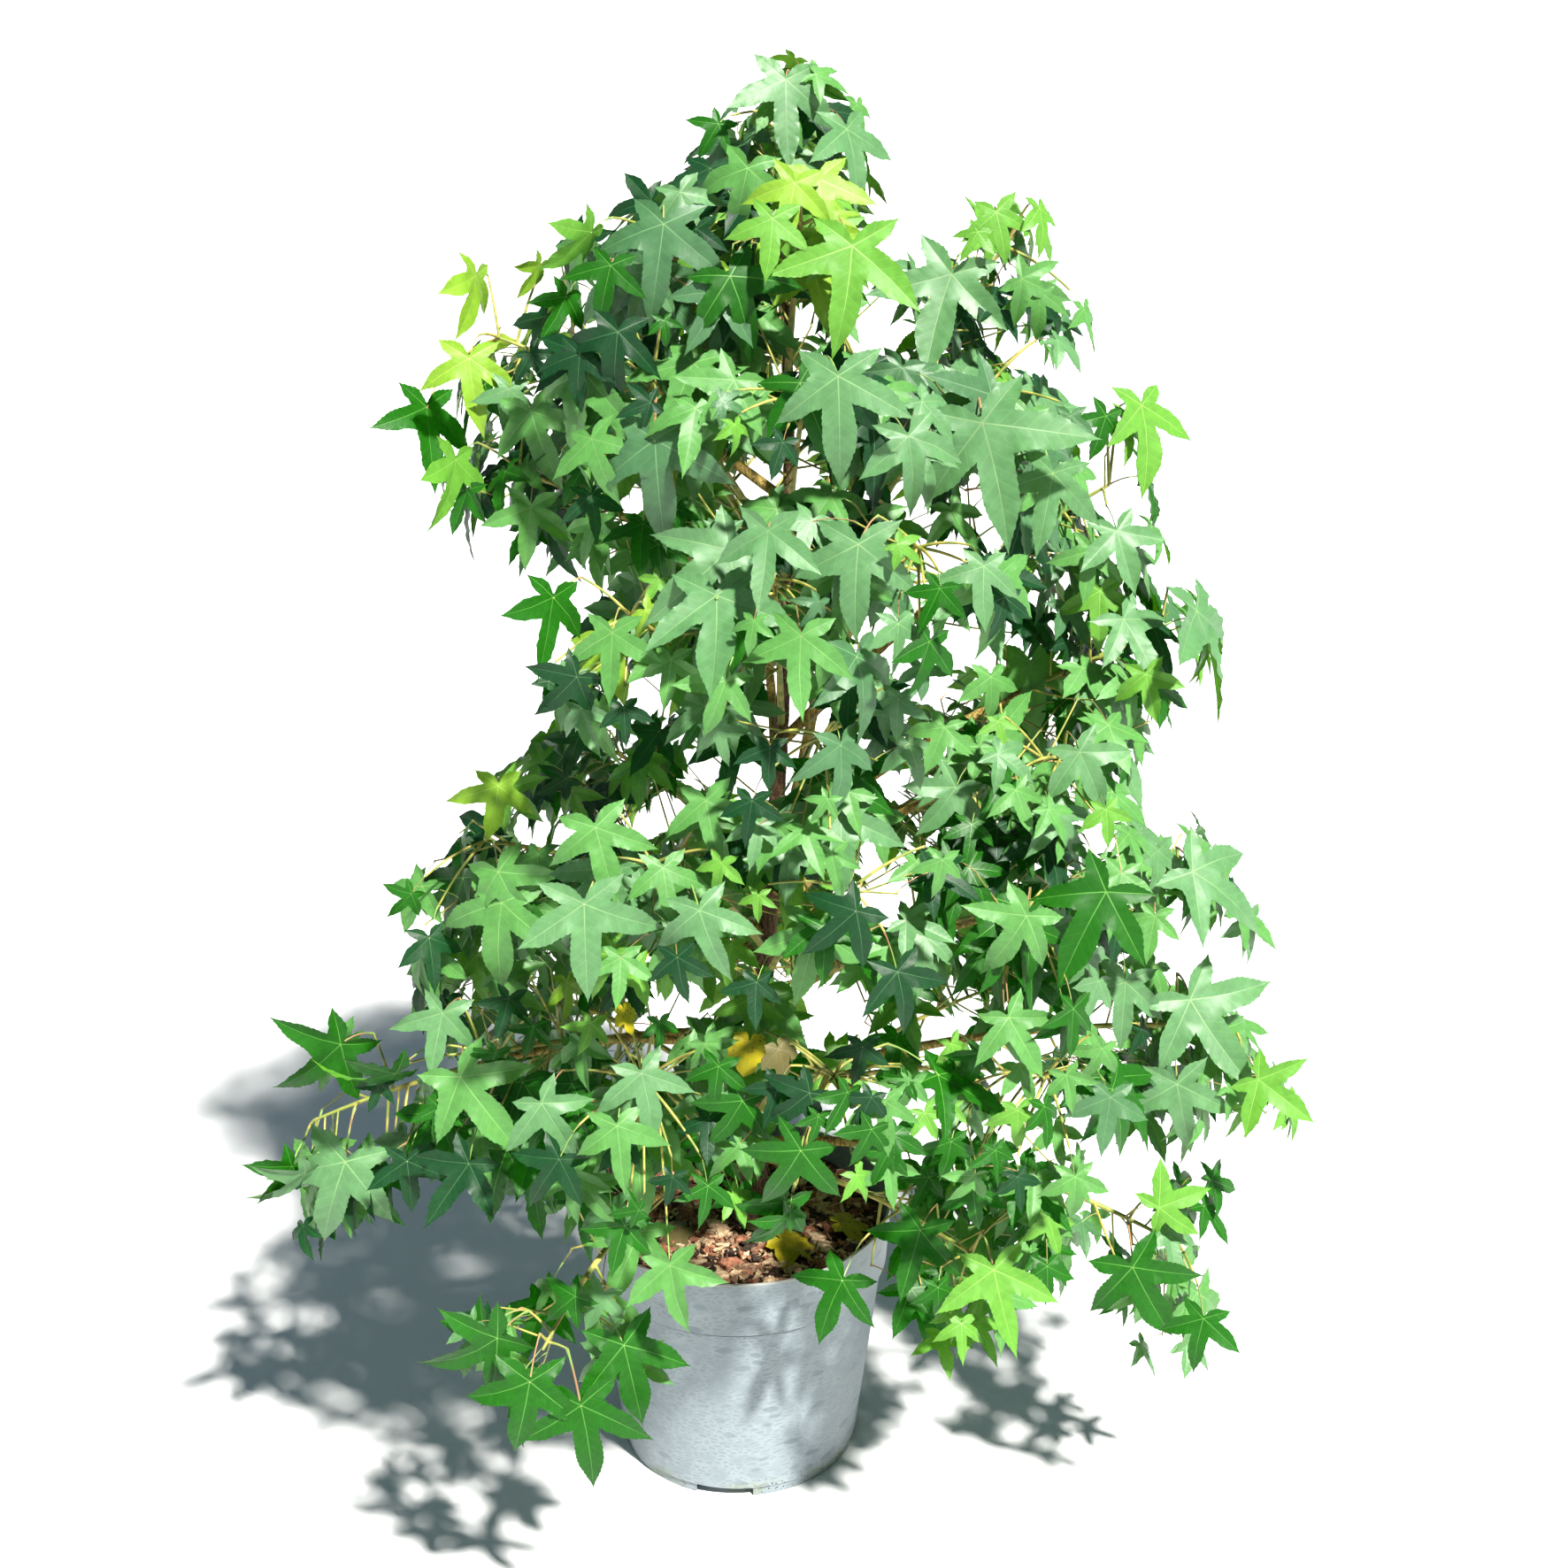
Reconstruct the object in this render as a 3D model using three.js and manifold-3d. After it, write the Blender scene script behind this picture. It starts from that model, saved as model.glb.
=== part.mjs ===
// A young sweetgum tree in a grey nursery pot, in millimetres.
// +Z is up, the front is -Y, and the origin is the middle of the pot's underside.
//
// The pot stands on a foot ring and a centre pad. It is filled with bark mulch, out of which one trunk grows.
// Boughs leave the trunk all the way up. At each bough's tip begins a mass of foliage: a stem with side
// shoots, and on them star-shaped leaves that hang from long stalks.
import * as THREE from "three";
import { mergeVertices } from "three/addons/utils/BufferGeometryUtils.js";
import Module from "manifold-3d";

const wasm = await Module();
wasm.setup();
const { Manifold, Mesh } = wasm;

// ---------------------------------------------------------------- sizes

const POT = {
  height: 250,
  rimRadius: 140,
  collarFoot: 194, // height at which the collar ends and the wall steps in
  collarFootRadius: 136.5,
  wallTopRadius: 133,
  wallFootRadius: 110.5,
  footRadius: 109,
  footHeight: 9, // the foot ring, and how far the floor is off the ground
  floorThickness: 4,
  wall: 3,
  padRadius: 30, // the pad under the middle of the floor
  notches: 4,
  notchWidth: 52,
  notchHeight: 8.6,
  notchHeading: -96.5, // degrees from +X, of the first notch
  sides: 28,
};

const MULCH = { level: 231, crown: 5, seatRadius: 45 };

const CLEAR = 0.3; // gap between solids that touch
const TRUNK = {
  radius: 10,
  tipRadius: 3.4,
  flareRadius: 8, // added at ground level
  flareHeight: 0.07, // share of the trunk over which the flare dies away
  sides: 9,
  steps: 10,
  cut: 2, // how far the limb is begun under ground level, to be cut flat there
};
const LEADER = { radius: 5.2, tipRadius: 3, sides: 6, steps: 6 };
const BOUGH = { tipRadius: 3.3, sides: 5, steps: 3 };
// nodes are the shares of a twig at which a leaf may grow.
const STEM = { radius: 3.3, tipRadius: 2.3, sides: 4, steps: 3, nodes: [0.96, 0.86, 0.7, 0.55] };
const SHOOT = {
  radius: 1.7,
  sides: 3,
  steps: 1,
  nodes: [0.95, 0.8, 0.6],
  apart: 17, // one shoot for so much of a mass's spread
  shortest: 0.6, // lengths, as shares of the spread
  longest: 0.95,
  first: 0.1, // where the first shoot of a stem on a bough stands, as a share of the stem
  firstOnWood: 0.45, // the same for a stem that grows out of the wood, whose lower part is bare
  last: 0.92,
  forward: 0.35, // how far a shoot leans along its stem
  rise: 0.1, // how far it leans upwards
};

const LIMB_ARCH = 0.1; // how far a limb's middle stands over the straight line, as a share of its length
const LIMB_PAST = 0.1; // how far a limb runs on past its mass's middle, as a share of the spread
const LIMB_OVER = 0.3; // how far over the mass's middle it ends, as a share of the depth
const SPACE_POWER = 2.5; // 2 would make each mass's space an ellipsoid, and more makes it squarer
const CROWN_MIDDLE = 40; // how far right of the pot's middle the crown's axis stands
const GOLDEN_ANGLE = THREE.MathUtils.degToRad(137.5);
const SEED = 1;
const SEED_STEP = 977; // from one mass to the next
const LEAF = {
  length: 86, // of the middle lobe
  variation: 0.1, // how far the length varies, either way
  stalk: 0.62, // the stalk's length, as a share of the middle lobe's
  forward: 0.6, // how far a stalk leans along its twig, outwards from the wood, and upwards
  outward: 0.35,
  rise: 0.3,
  stalkRadius: 1.7, // at the blade
  rootRadius: 0.65, // at the middle of its twig, where the stalk begins
  thickness: 3.6, // at the middle of the blade
  heart: 0.13, // where a blade is thickest, and where its middle lies, as shares of the middle lobe
  middle: 0.4,
  spacing: 54, // least distance between two blades' middles
  stray: 32, // how far a tip may leave its mass's space
  clear: 0.8, // gap to the other solids
  choices: 80, // ways that a leaf is tried at one place, each smaller than the last, down to
  smallest: 0.75,
  lightward: 0.5, // how far the blades turn from the trunk towards the light in front
  swing: 0.9, // radians that a blade's heading varies
  leastLift: 0.35, // radians that a blade's face looks up
  mostLift: 0.95,
  droop: 1.6, // how far the middle lobe turns from its stalk's line to hang straight down
  roll: 0.8, // radians that the middle lobe varies from there
  leastBend: 0.15, // cosine of the sharpest angle between a stalk's line and its middle lobe
};
// The blade's edge as [degrees from the middle lobe, distance, drop], the last two as shares of the middle
// lobe's length.
const LEAF_EDGE = [
  [-118, 0.58, -0.05],
  [-86, 0.32, 0.0],
  [-57, 0.86, -0.12],
  [-27, 0.43, -0.01],
  [0, 1.0, -0.14],
  [27, 0.43, -0.01],
  [57, 0.86, -0.12],
  [86, 0.32, 0.0],
  [118, 0.58, -0.05],
];

// ---------------------------------------------------------------- colours

const finish = (color, roughness) => new THREE.MeshStandardMaterial({ color, roughness, metalness: 0 });
const POT_GREY = finish(0xaeb6bc, 0.5);
const MULCH_BROWN = finish(0x6b4632, 0.95);
const BARK = finish(0x7a5c36, 0.85);
const GREEN = finish(0x3f8f4a, 0.5);

// ---------------------------------------------------------------- solids

const vector = (x, y, z) => new THREE.Vector3(x, y, z);
const UP = vector(0, 0, 1);
const LIMB_FRAME = vector(0.31, 0.95, 0.05); // no limb runs this way, and its rings are turned from it

/** A closed geometry as a solid. */
function solidOf(geometry) {
  const bare = geometry.clone();
  bare.deleteAttribute("normal");
  bare.deleteAttribute("uv");
  const merged = mergeVertices(bare, 1e-4);
  return new Manifold(
    new Mesh({
      numProp: 3,
      vertProperties: merged.attributes.position.array,
      triVerts: new Uint32Array(merged.index.array),
    }),
  );
}

/** A solid as a named three.js mesh. */
function meshOf(name, solid, material) {
  const { numProp, numVert, vertProperties, triVerts } = solid.getMesh();
  const positions = new Float32Array(numVert * 3);
  for (let i = 0; i < numVert; i++) {
    positions.set(vertProperties.subarray(i * numProp, i * numProp + 3), i * 3);
  }
  const geometry = new THREE.BufferGeometry();
  geometry.setAttribute("position", new THREE.BufferAttribute(positions, 3));
  geometry.setIndex(new THREE.BufferAttribute(triVerts, 1));
  geometry.computeVertexNormals();
  const mesh = new THREE.Mesh(geometry, material);
  mesh.name = name;
  return mesh;
}

/** A closed lathe solid about +Z, from a profile of [radius, height] that starts and ends on the axis. */
function turned(profile, sides) {
  const geometry = new THREE.LatheGeometry(
    profile.map(([radius, height]) => new THREE.Vector2(radius, height)),
    sides,
  );
  return solidOf(geometry.rotateX(Math.PI / 2));
}

/** A cylinder bent along a curve. radiusAt gives its radius at a share t of the curve. */
function limb(curve, radiusAt, sides, steps) {
  const geometry = new THREE.CylinderGeometry(1, 1, 1, sides, steps);
  const position = geometry.attributes.position;
  for (let i = 0; i < position.count; i++) {
    const t = THREE.MathUtils.clamp(position.getY(i) + 0.5, 0, 1);
    const along = curve.getTangent(t);
    const side = new THREE.Vector3().crossVectors(LIMB_FRAME, along).normalize();
    const other = new THREE.Vector3().crossVectors(side, along);
    const radius = radiusAt(t);
    const point = curve
      .getPoint(t)
      .addScaledVector(side, position.getX(i) * radius)
      .addScaledVector(other, position.getZ(i) * radius);
    position.setXYZ(i, point.x, point.y, point.z);
  }
  return solidOf(geometry);
}

/** A radius that goes evenly from one value to another. */
const taper = (from, to) => (t) => THREE.MathUtils.lerp(from, to, t);

/** The middle of a limb of so many straight steps, at a share t of it. */
function limbMiddle(curve, steps, t) {
  const step = Math.min(Math.floor(t * steps), steps - 1);
  return curve.getPoint(step / steps).lerp(curve.getPoint((step + 1) / steps), t * steps - step);
}

/** The largest of a solid's separate bodies. */
const largest = (solid) => solid.decompose().sort((a, b) => b.volume() - a.volume())[0];

/** True where two solids' boxes overlap. */
function boxesMeet(a, b) {
  const p = a.boundingBox();
  const q = b.boundingBox();
  return [0, 1, 2].every((k) => p.min[k] <= q.max[k] && q.min[k] <= p.max[k]);
}

/** True where a solid shares no space with any of the others. */
const clearOf = (solid, others) =>
  others.every((other) => !boxesMeet(solid, other) || solid.intersect(other).isEmpty());

// ---------------------------------------------------------------- the pot and its mulch

/** Radius of the pot's outside at a height under the collar. */
const wallRadius = (height) =>
  THREE.MathUtils.mapLinear(height, POT.footHeight, POT.collarFoot, POT.wallFootRadius, POT.wallTopRadius);

/** Radius of the pot's inside at any height. */
const insideRadius = (height) =>
  height < POT.collarFoot
    ? wallRadius(height) - POT.wall
    : THREE.MathUtils.mapLinear(
        height,
        POT.collarFoot,
        POT.height,
        POT.wallTopRadius - POT.wall,
        POT.rimRadius - POT.wall,
      );

function potSolid() {
  const floorTop = POT.footHeight + POT.floorThickness;
  let pot = turned(
    [
      [0, 0],
      [POT.padRadius, 0],
      [POT.padRadius, POT.footHeight],
      [POT.footRadius - 2 * POT.wall, POT.footHeight],
      [POT.footRadius - POT.wall, 0],
      [POT.footRadius, 0],
      [POT.footRadius, POT.footHeight],
      [POT.wallFootRadius, POT.footHeight],
      [POT.wallTopRadius, POT.collarFoot],
      [POT.collarFootRadius, POT.collarFoot],
      [POT.rimRadius, POT.height],
      [POT.rimRadius - POT.wall, POT.height],
      [insideRadius(POT.collarFoot), POT.collarFoot],
      [insideRadius(floorTop), floorTop],
      [0, floorTop],
    ],
    POT.sides,
  );
  for (let i = 0; i < POT.notches; i++) {
    const heading = THREE.MathUtils.degToRad(POT.notchHeading + (360 * i) / POT.notches);
    const notch = new THREE.BoxGeometry(8 * POT.wall, POT.notchWidth, 2 * POT.notchHeight)
      .translate(POT.footRadius, 0, 0)
      .rotateZ(heading);
    pot = pot.subtract(solidOf(notch));
  }
  return pot;
}

function mulchSolid() {
  const foot = POT.footHeight + POT.floorThickness + CLEAR;
  const gap = 2 * CLEAR;
  const edge = MULCH.level - MULCH.crown;
  return turned(
    [
      [0, foot],
      [insideRadius(foot) - gap, foot],
      [insideRadius(POT.collarFoot) - gap, POT.collarFoot],
      [insideRadius(edge) - gap, edge],
      [MULCH.seatRadius, MULCH.level],
      [0, MULCH.level],
    ],
    POT.sides,
  );
}

// ---------------------------------------------------------------- the trunk

const trunkFoot = MULCH.level + CLEAR;
const trunkCurve = new THREE.CubicBezierCurve3(
  vector(12, 0, trunkFoot - TRUNK.cut),
  vector(20, 8, 520),
  vector(58, 4, 760),
  vector(42, 0, 1090),
);

function trunkRadius(t) {
  const flare = TRUNK.flareRadius * Math.exp(-t / TRUNK.flareHeight);
  return THREE.MathUtils.lerp(TRUNK.radius, TRUNK.tipRadius, t) + flare;
}

/** The trunk, wider by extra. */
function trunkSolid(extra = 0) {
  const solid = limb(trunkCurve, (t) => trunkRadius(t) + extra, TRUNK.sides, TRUNK.steps);
  return solid.trimByPlane([0, 0, 1], trunkFoot);
}

const leaderCurve = new THREE.QuadraticBezierCurve3(
  vector(40, 3, 585),
  vector(78, -44, 800),
  vector(106, -54, 985),
);

/** The second leader, which forks off the trunk and stands up in front of it, wider by extra. */
const leaderSolid = (extra = 0) =>
  limb(leaderCurve, taper(LEADER.radius + extra, LEADER.tipRadius + extra), LEADER.sides, LEADER.steps);

/** The share of an upright curve at which it is a height above the ground. */
function shareAt(curve, height) {
  let low = 0;
  let high = 1;
  for (let i = 0; i < 40; i++) {
    const middle = (low + high) / 2;
    if (curve.getPoint(middle).z < height) low = middle;
    else high = middle;
  }
  return high;
}

// ---------------------------------------------------------------- the crown's plan

// Each mass of foliage as [name, what it grows from, height of that root, heading in degrees from +X and reach
// from there to the mass's middle, the middle's height, spread, depth]. spread is the mass's half width and depth
// its half height, as far as the leaf tips go. Masses are grown in this order, and an earlier one takes its room
// first.
const MASSES = [
  ["top", "trunk", 1090, 0, 0, 1198, 70, 60],
  ["upper_left_front", "trunk", 975, -133, 140, 1121, 72, 66],
  ["upper_front", "trunk", 1010, -86, 131, 1130, 70, 67],
  ["upper_right", "trunk", 862, -1, 162, 1088, 70, 78],
  ["upper_left", "trunk", 905, 176, 224, 1010, 70, 88],
  ["left_shoulder", "trunk", 800, -168, 207, 920, 79, 81],
  ["front_upper", "trunk", 882, -87, 223, 1025, 78, 74],
  ["right_shoulder", "leader", 880, -38, 120, 1000, 83, 90],
  ["left_front_upper", "trunk", 842, -120, 188, 1017, 81, 81],
  ["right_high", "trunk", 695, -1, 258, 890, 76, 104],
  ["right_far", "trunk", 600, -8, 308, 780, 84, 88],
  ["front_mid_right", "leader", 740, -73, 230, 924, 79, 71],
  ["front_mid", "trunk", 712, -91, 274, 907, 74, 74],
  ["front_mid_left", "trunk", 678, -117, 230, 857, 80, 72],
  ["left_waist", "trunk", 572, -178, 147, 681, 69, 72],
  ["right_mid", "trunk", 555, -35, 270, 726, 86, 72],
  ["front_waist", "leader", 660, -86, 245, 785, 84, 74],
  ["left_low", "trunk", 515, -155, 244, 625, 78, 90],
  ["front_low_left", "trunk", 498, -106, 285, 687, 82, 78],
  ["front_low", "trunk", 467, -77, 292, 674, 82, 74],
  ["right_low", "trunk", 452, -13, 361, 586, 99, 66],
  ["right_lower", "trunk", 436, -48, 300, 630, 85, 70],
  ["right_far_low", "trunk", 364, -12, 406, 444, 86, 92],
  ["right_low_front", "trunk", 348, -45, 318, 482, 94, 84],
  ["left_far_low", "trunk", 418, -167, 384, 350, 90, 105],
  ["left_lower", "trunk", 398, -143, 269, 460, 94, 99],
  ["front_base_left", "trunk", 320, -107, 270, 495, 92, 92],
  ["front_base", "trunk", 334, -76, 260, 499, 84, 78],
  ["right_base", "trunk", 292, -49, 269, 308, 88, 62],
  ["right_tip_low", "trunk", 306, -19, 381, 252, 86, 95],
  ["left_drooper", "trunk", 278, -120, 322, 262, 74, 84],
  ["back_top", "trunk", 950, 95, 120, 1085, 85, 85],
  ["back_upper_left", "trunk", 825, 128, 200, 950, 95, 90],
  ["back_upper_right", "leader", 840, 62, 215, 930, 95, 90],
  ["back_middle", "trunk", 660, 95, 250, 800, 110, 90],
  ["back_low_left", "trunk", 482, 132, 270, 530, 115, 95],
  ["back_low_right", "trunk", 532, 45, 300, 570, 115, 95],
  ["back_base", "trunk", 380, 88, 290, 420, 115, 95],
  ["back_base_left", "trunk", 340, 142, 300, 350, 105, 85],
  ["back_base_right", "trunk", 326, 38, 310, 345, 110, 85],
];

// The masses that have a bare bough of their own: the share of the way at which it ends, its radius at its root
// and, where it isn't the usual one, how far its middle stands over the straight line. The other masses' stems
// grow straight out of the wood.
const BOUGHS = {
  upper_right: [0.6, 4.5],
  upper_left: [0.6, 4.5],
  left_shoulder: [0.6, 4.5],
  right_high: [0.6, 5],
  right_far: [0.7, 5],
  left_low: [0.6, 5],
  right_mid: [0.55, 5],
  right_low: [0.6, 5.5],
  right_far_low: [0.6, 5],
  left_far_low: [0.6, 5.5, 50],
  left_lower: [0.55, 5],
  right_tip_low: [0.62, 4.5, 70],
  left_drooper: [0.65, 4, 110],
  back_middle: [0.5, 5],
  back_low_left: [0.55, 5.5],
  back_low_right: [0.55, 5.5],
};

/** Repeatable numbers from 0 to 1, by the Park-Miller rule. */
function seeded(seed) {
  let state = seed;
  return () => {
    state = (state * 48271) % 2147483647;
    return state / 2147483647;
  };
}

/** The stretch of a quadratic curve from one share of it to another, as a curve of its own. */
function stretch(curve, from, to) {
  const bend = curve.v0
    .clone()
    .multiplyScalar((1 - from) * (1 - to))
    .addScaledVector(curve.v1, from * (1 - to) + to * (1 - from))
    .addScaledVector(curve.v2, from * to);
  return new THREE.QuadraticBezierCurve3(curve.getPoint(from), bend, curve.getPoint(to));
}

/** One mass's place, and the curve of the limb that bears it, from the wood to past the mass's middle. */
function planMass([name, parent, rootHeight, heading, reach, height, spread, depth]) {
  const turn = THREE.MathUtils.degToRad(heading);
  const outward = vector(Math.cos(turn), Math.sin(turn), 0);
  const wood = parent === "trunk" ? trunkCurve : leaderCurve;
  const root = wood.getPoint(shareAt(wood, rootHeight));
  const middle = root.clone().addScaledVector(outward, reach).setZ(height);
  const [share, girth, arch] = BOUGHS[name] ?? [0];
  const past = outward.clone().multiplyScalar(LIMB_PAST * spread);
  const far = middle.clone().add(past).addScaledVector(UP, LIMB_OVER * depth);
  const bend = root.clone().lerp(far, 0.5).addScaledVector(UP, arch ?? LIMB_ARCH * root.distanceTo(far));
  const limbCurve = new THREE.QuadraticBezierCurve3(root, bend, far);
  return { name, outward, middle, spread, depth, share, girth, limbCurve };
}

// ---------------------------------------------------------------- twigs and leaves

/** A unit vector at right angles to along, at a turn about it. */
function sideways(along, turn) {
  const flat = new THREE.Vector3().crossVectors(along, UP);
  if (flat.lengthSq() < 1e-4) flat.set(1, 0, 0);
  flat.normalize();
  const raised = new THREE.Vector3().crossVectors(flat, along);
  return flat.multiplyScalar(Math.cos(turn)).addScaledVector(raised, Math.sin(turn));
}

/** The side shoots of a mass's stem. */
function growShoots(plan, stem, random) {
  const count = Math.round(plan.spread / SHOOT.apart);
  const shoots = [];
  for (let i = 0; i < count; i++) {
    const t = THREE.MathUtils.lerp(plan.share ? SHOOT.first : SHOOT.firstOnWood, SHOOT.last, i / count);
    const along = stem.getTangent(t);
    const turn = i * GOLDEN_ANGLE + random();
    const length = plan.spread * THREE.MathUtils.lerp(SHOOT.shortest, SHOOT.longest, random());
    const way = sideways(along, turn)
      .addScaledVector(along, SHOOT.forward)
      .addScaledVector(UP, SHOOT.rise)
      .normalize();
    const start = limbMiddle(stem, STEM.steps, t);
    const end = start.clone().addScaledVector(way, length);
    shoots.push(new THREE.LineCurve3(start, end));
  }
  return shoots;
}

/** A leaf that a twig may bear at a share t of it. */
function growLeaf(plan, bearer, t, size, random) {
  const node = limbMiddle(bearer.curve, bearer.steps, t);
  const along = bearer.curve.getTangent(t);
  const stalk = sideways(along, 2 * Math.PI * random())
    .addScaledVector(along, LEAF.forward)
    .addScaledVector(plan.outward, LEAF.outward)
    .addScaledVector(UP, LEAF.rise)
    .normalize();
  const length = LEAF.length * size * (1 + LEAF.variation * (2 * random() - 1));
  const base = node.clone().addScaledVector(stalk, LEAF.stalk * length);
  const heading = Math.atan2(base.y, base.x - CROWN_MIDDLE) + LEAF.swing * (random() - 0.5);
  const lift = THREE.MathUtils.lerp(LEAF.leastLift, LEAF.mostLift, random());
  const facing = vector(Math.cos(heading), Math.sin(heading) - LEAF.lightward, 0)
    .normalize()
    .multiplyScalar(Math.cos(lift))
    .addScaledVector(UP, Math.sin(lift));
  const hang = stalk
    .clone()
    .addScaledVector(UP, -LEAF.droop)
    .projectOnPlane(facing)
    .normalize()
    .applyAxisAngle(facing, LEAF.roll * (random() - 0.5));
  const side = new THREE.Vector3().crossVectors(facing, hang);
  const edge = LEAF_EDGE.map(([degrees, distance, drop]) => {
    const turn = THREE.MathUtils.degToRad(degrees);
    return base
      .clone()
      .addScaledVector(hang, Math.cos(turn) * distance * length)
      .addScaledVector(side, Math.sin(turn) * distance * length)
      .addScaledVector(facing, drop * length);
  });
  const middle = base.clone().addScaledVector(hang, LEAF.middle * length);
  return { node, base, length, stalk, facing, hang, side, edge, middle };
}

/** One leaf with its stalk as a closed solid, swollen by extra all round. */
function leafSolid({ node, base, length, facing, hang, side, edge, middle }, extra = 0) {
  const half = LEAF.thickness / 2 + extra;
  const width = LEAF.stalkRadius + extra;
  const rootWidth = LEAF.rootRadius + extra;
  const back = node.clone().sub(base).normalize();
  const under = new THREE.Vector3().crossVectors(back, side).normalize();
  const heart = base.clone().addScaledVector(hang, LEAF.heart * length);
  const rim = edge.map((point) => point.clone().addScaledVector(point.clone().sub(middle).normalize(), extra));
  const count = rim.length;
  const [left, right, top, bottom, rootLeft, rootRight, rootLow] = [0, 1, 2, 3, 4, 5, 6].map((i) => count + i);
  const points = [
    ...rim,
    base.clone().addScaledVector(side, width),
    base.clone().addScaledVector(side, -width),
    heart.clone().addScaledVector(facing, half),
    heart.clone().addScaledVector(facing, -half),
    node.clone().addScaledVector(side, rootWidth),
    node.clone().addScaledVector(side, -rootWidth),
    node.clone().addScaledVector(under, rootWidth),
  ];
  const faces = [];
  const ring = [...rim.keys(), left, right];
  ring.forEach((here, i) => {
    const next = ring[(i + 1) % ring.length];
    faces.push([top, here, next]);
    if (here !== left) faces.push([bottom, next, here]);
  });
  faces.push([right, left, rootLeft], [right, rootLeft, rootRight]);
  faces.push([left, bottom, rootLow], [left, rootLow, rootLeft]);
  faces.push([bottom, right, rootRight], [bottom, rootRight, rootLow]);
  faces.push([rootRight, rootLeft, rootLow]);
  return new Manifold(
    new Mesh({
      numProp: 3,
      vertProperties: new Float32Array(points.flatMap((point) => point.toArray())),
      triVerts: new Uint32Array(faces.flat()),
    }),
  );
}

/** True where a leaf's tips are all in its mass's own space. */
function inSpace({ middle, spread, depth }, leaf) {
  return leaf.edge.every((point) => {
    const across = Math.hypot(point.x - middle.x, point.y - middle.y) / (spread + LEAF.stray);
    const upright = Math.abs(point.z - middle.z) / (depth + LEAF.stray);
    return across ** SPACE_POWER + upright ** SPACE_POWER <= 1;
  });
}

/** A side shoot as a solid. */
const shootSolid = (curve) => limb(curve, () => SHOOT.radius, SHOOT.sides, SHOOT.steps);

/** The leaves that a twig may bear at a share t of it, the one with the most room round it first. */
function leafChoices(plan, bearer, t, blades, random) {
  const choices = [];
  for (let i = 0; i < LEAF.choices; i++) {
    const size = THREE.MathUtils.lerp(1, LEAF.smallest, i / LEAF.choices);
    const leaf = growLeaf(plan, bearer, t, size, random);
    leaf.room = Math.min(...blades.map((blade) => blade.distanceTo(leaf.middle)));
    const bent = leaf.stalk.dot(leaf.hang) > LEAF.leastBend;
    if (bent && leaf.room > LEAF.spacing && inSpace(plan, leaf)) choices.push(leaf);
  }
  return choices.sort((a, b) => b.room - a.room);
}

/** True where a leaf touches nothing but its own twig, and that with the first fifth of its stalk alone. */
function leafFits(leaf, bearerSolid, others) {
  const past = { ...leaf, node: leaf.node.clone().lerp(leaf.base, 1 / 5) };
  return clearOf(leafSolid(leaf, LEAF.clear), others) && clearOf(leafSolid(past, LEAF.clear), [bearerSolid]);
}

/** One mass of foliage: a stem's twigs and leaves that keep to its space and clear of the other solids. */
function massSolid(plan, stem, stemSolid, others, blades, random) {
  const pieces = [stemSolid];
  const bear = (bearer, shares) => {
    let furthest = 0;
    for (const t of shares) {
      const rest = [...others, ...pieces.filter((piece) => piece !== bearer.solid)];
      const choices = leafChoices(plan, bearer, t, blades, random);
      const leaf = choices.find((choice) => leafFits(choice, bearer.solid, rest));
      if (!leaf) continue;
      blades.push(leaf.middle);
      pieces.push(leafSolid(leaf));
      furthest = Math.max(furthest, t);
    }
    return furthest;
  };
  bear({ curve: stem, steps: STEM.steps, solid: stemSolid }, STEM.nodes);
  for (const curve of growShoots(plan, stem, random)) {
    const solid = shootSolid(curve);
    if (!clearOf(solid, [...others, ...pieces.slice(1)])) continue;
    const furthest = bear({ curve, steps: SHOOT.steps, solid }, SHOOT.nodes);
    if (furthest === 0) continue;
    const end = curve.getPoint(furthest + 1 - SHOOT.nodes[0]);
    pieces.push(shootSolid(new THREE.LineCurve3(curve.v1, end)));
  }
  return largest(Manifold.union(pieces));
}

// ---------------------------------------------------------------- the whole plant

const solids = new Map();
solids.set("pot", [potSolid(), POT_GREY]);
solids.set("mulch", [mulchSolid(), MULCH_BROWN]);
solids.set("trunk", [trunkSolid(), BARK]);
const wideTrunk = trunkSolid(CLEAR);
solids.set("leader", [largest(leaderSolid().subtract(wideTrunk)), BARK]);
const wideWood = wideTrunk.add(leaderSolid(CLEAR));

const limbs = MASSES.map((row) => {
  const plan = planMass(row);
  const { name, share, girth, limbCurve } = plan;
  const stem = stretch(limbCurve, share + CLEAR / limbCurve.getLength(), 1);
  let stemSolid = limb(stem, taper(STEM.radius, STEM.tipRadius), STEM.sides, STEM.steps);
  if (share) {
    const bough = limb(stretch(limbCurve, 0, share), taper(girth, BOUGH.tipRadius), BOUGH.sides, BOUGH.steps);
    solids.set("bough_" + name, [largest(bough.subtract(wideWood)), BARK]);
  } else {
    stemSolid = largest(stemSolid.subtract(wideWood));
  }
  return { plan, stem, stemSolid };
});

const blades = [];
const grown = new Map();
limbs.forEach(({ plan, stem, stemSolid }, index) => {
  const wood = [...solids.values()].map(([solid]) => solid);
  const bareStems = limbs.filter(({ plan: { name } }) => name !== plan.name && !grown.has(name));
  const others = [...wood, ...grown.values(), ...bareStems.map((other) => other.stemSolid)];
  const random = seeded(SEED + SEED_STEP * index);
  grown.set(plan.name, massSolid(plan, stem, stemSolid, others, blades, random));
});
for (const [name, solid] of grown) solids.set("foliage_" + name, [solid, GREEN]);

const tree = new THREE.Group();
for (const [name, [solid, material]] of solids) tree.add(meshOf(name, solid, material));

export default tree;
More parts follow.
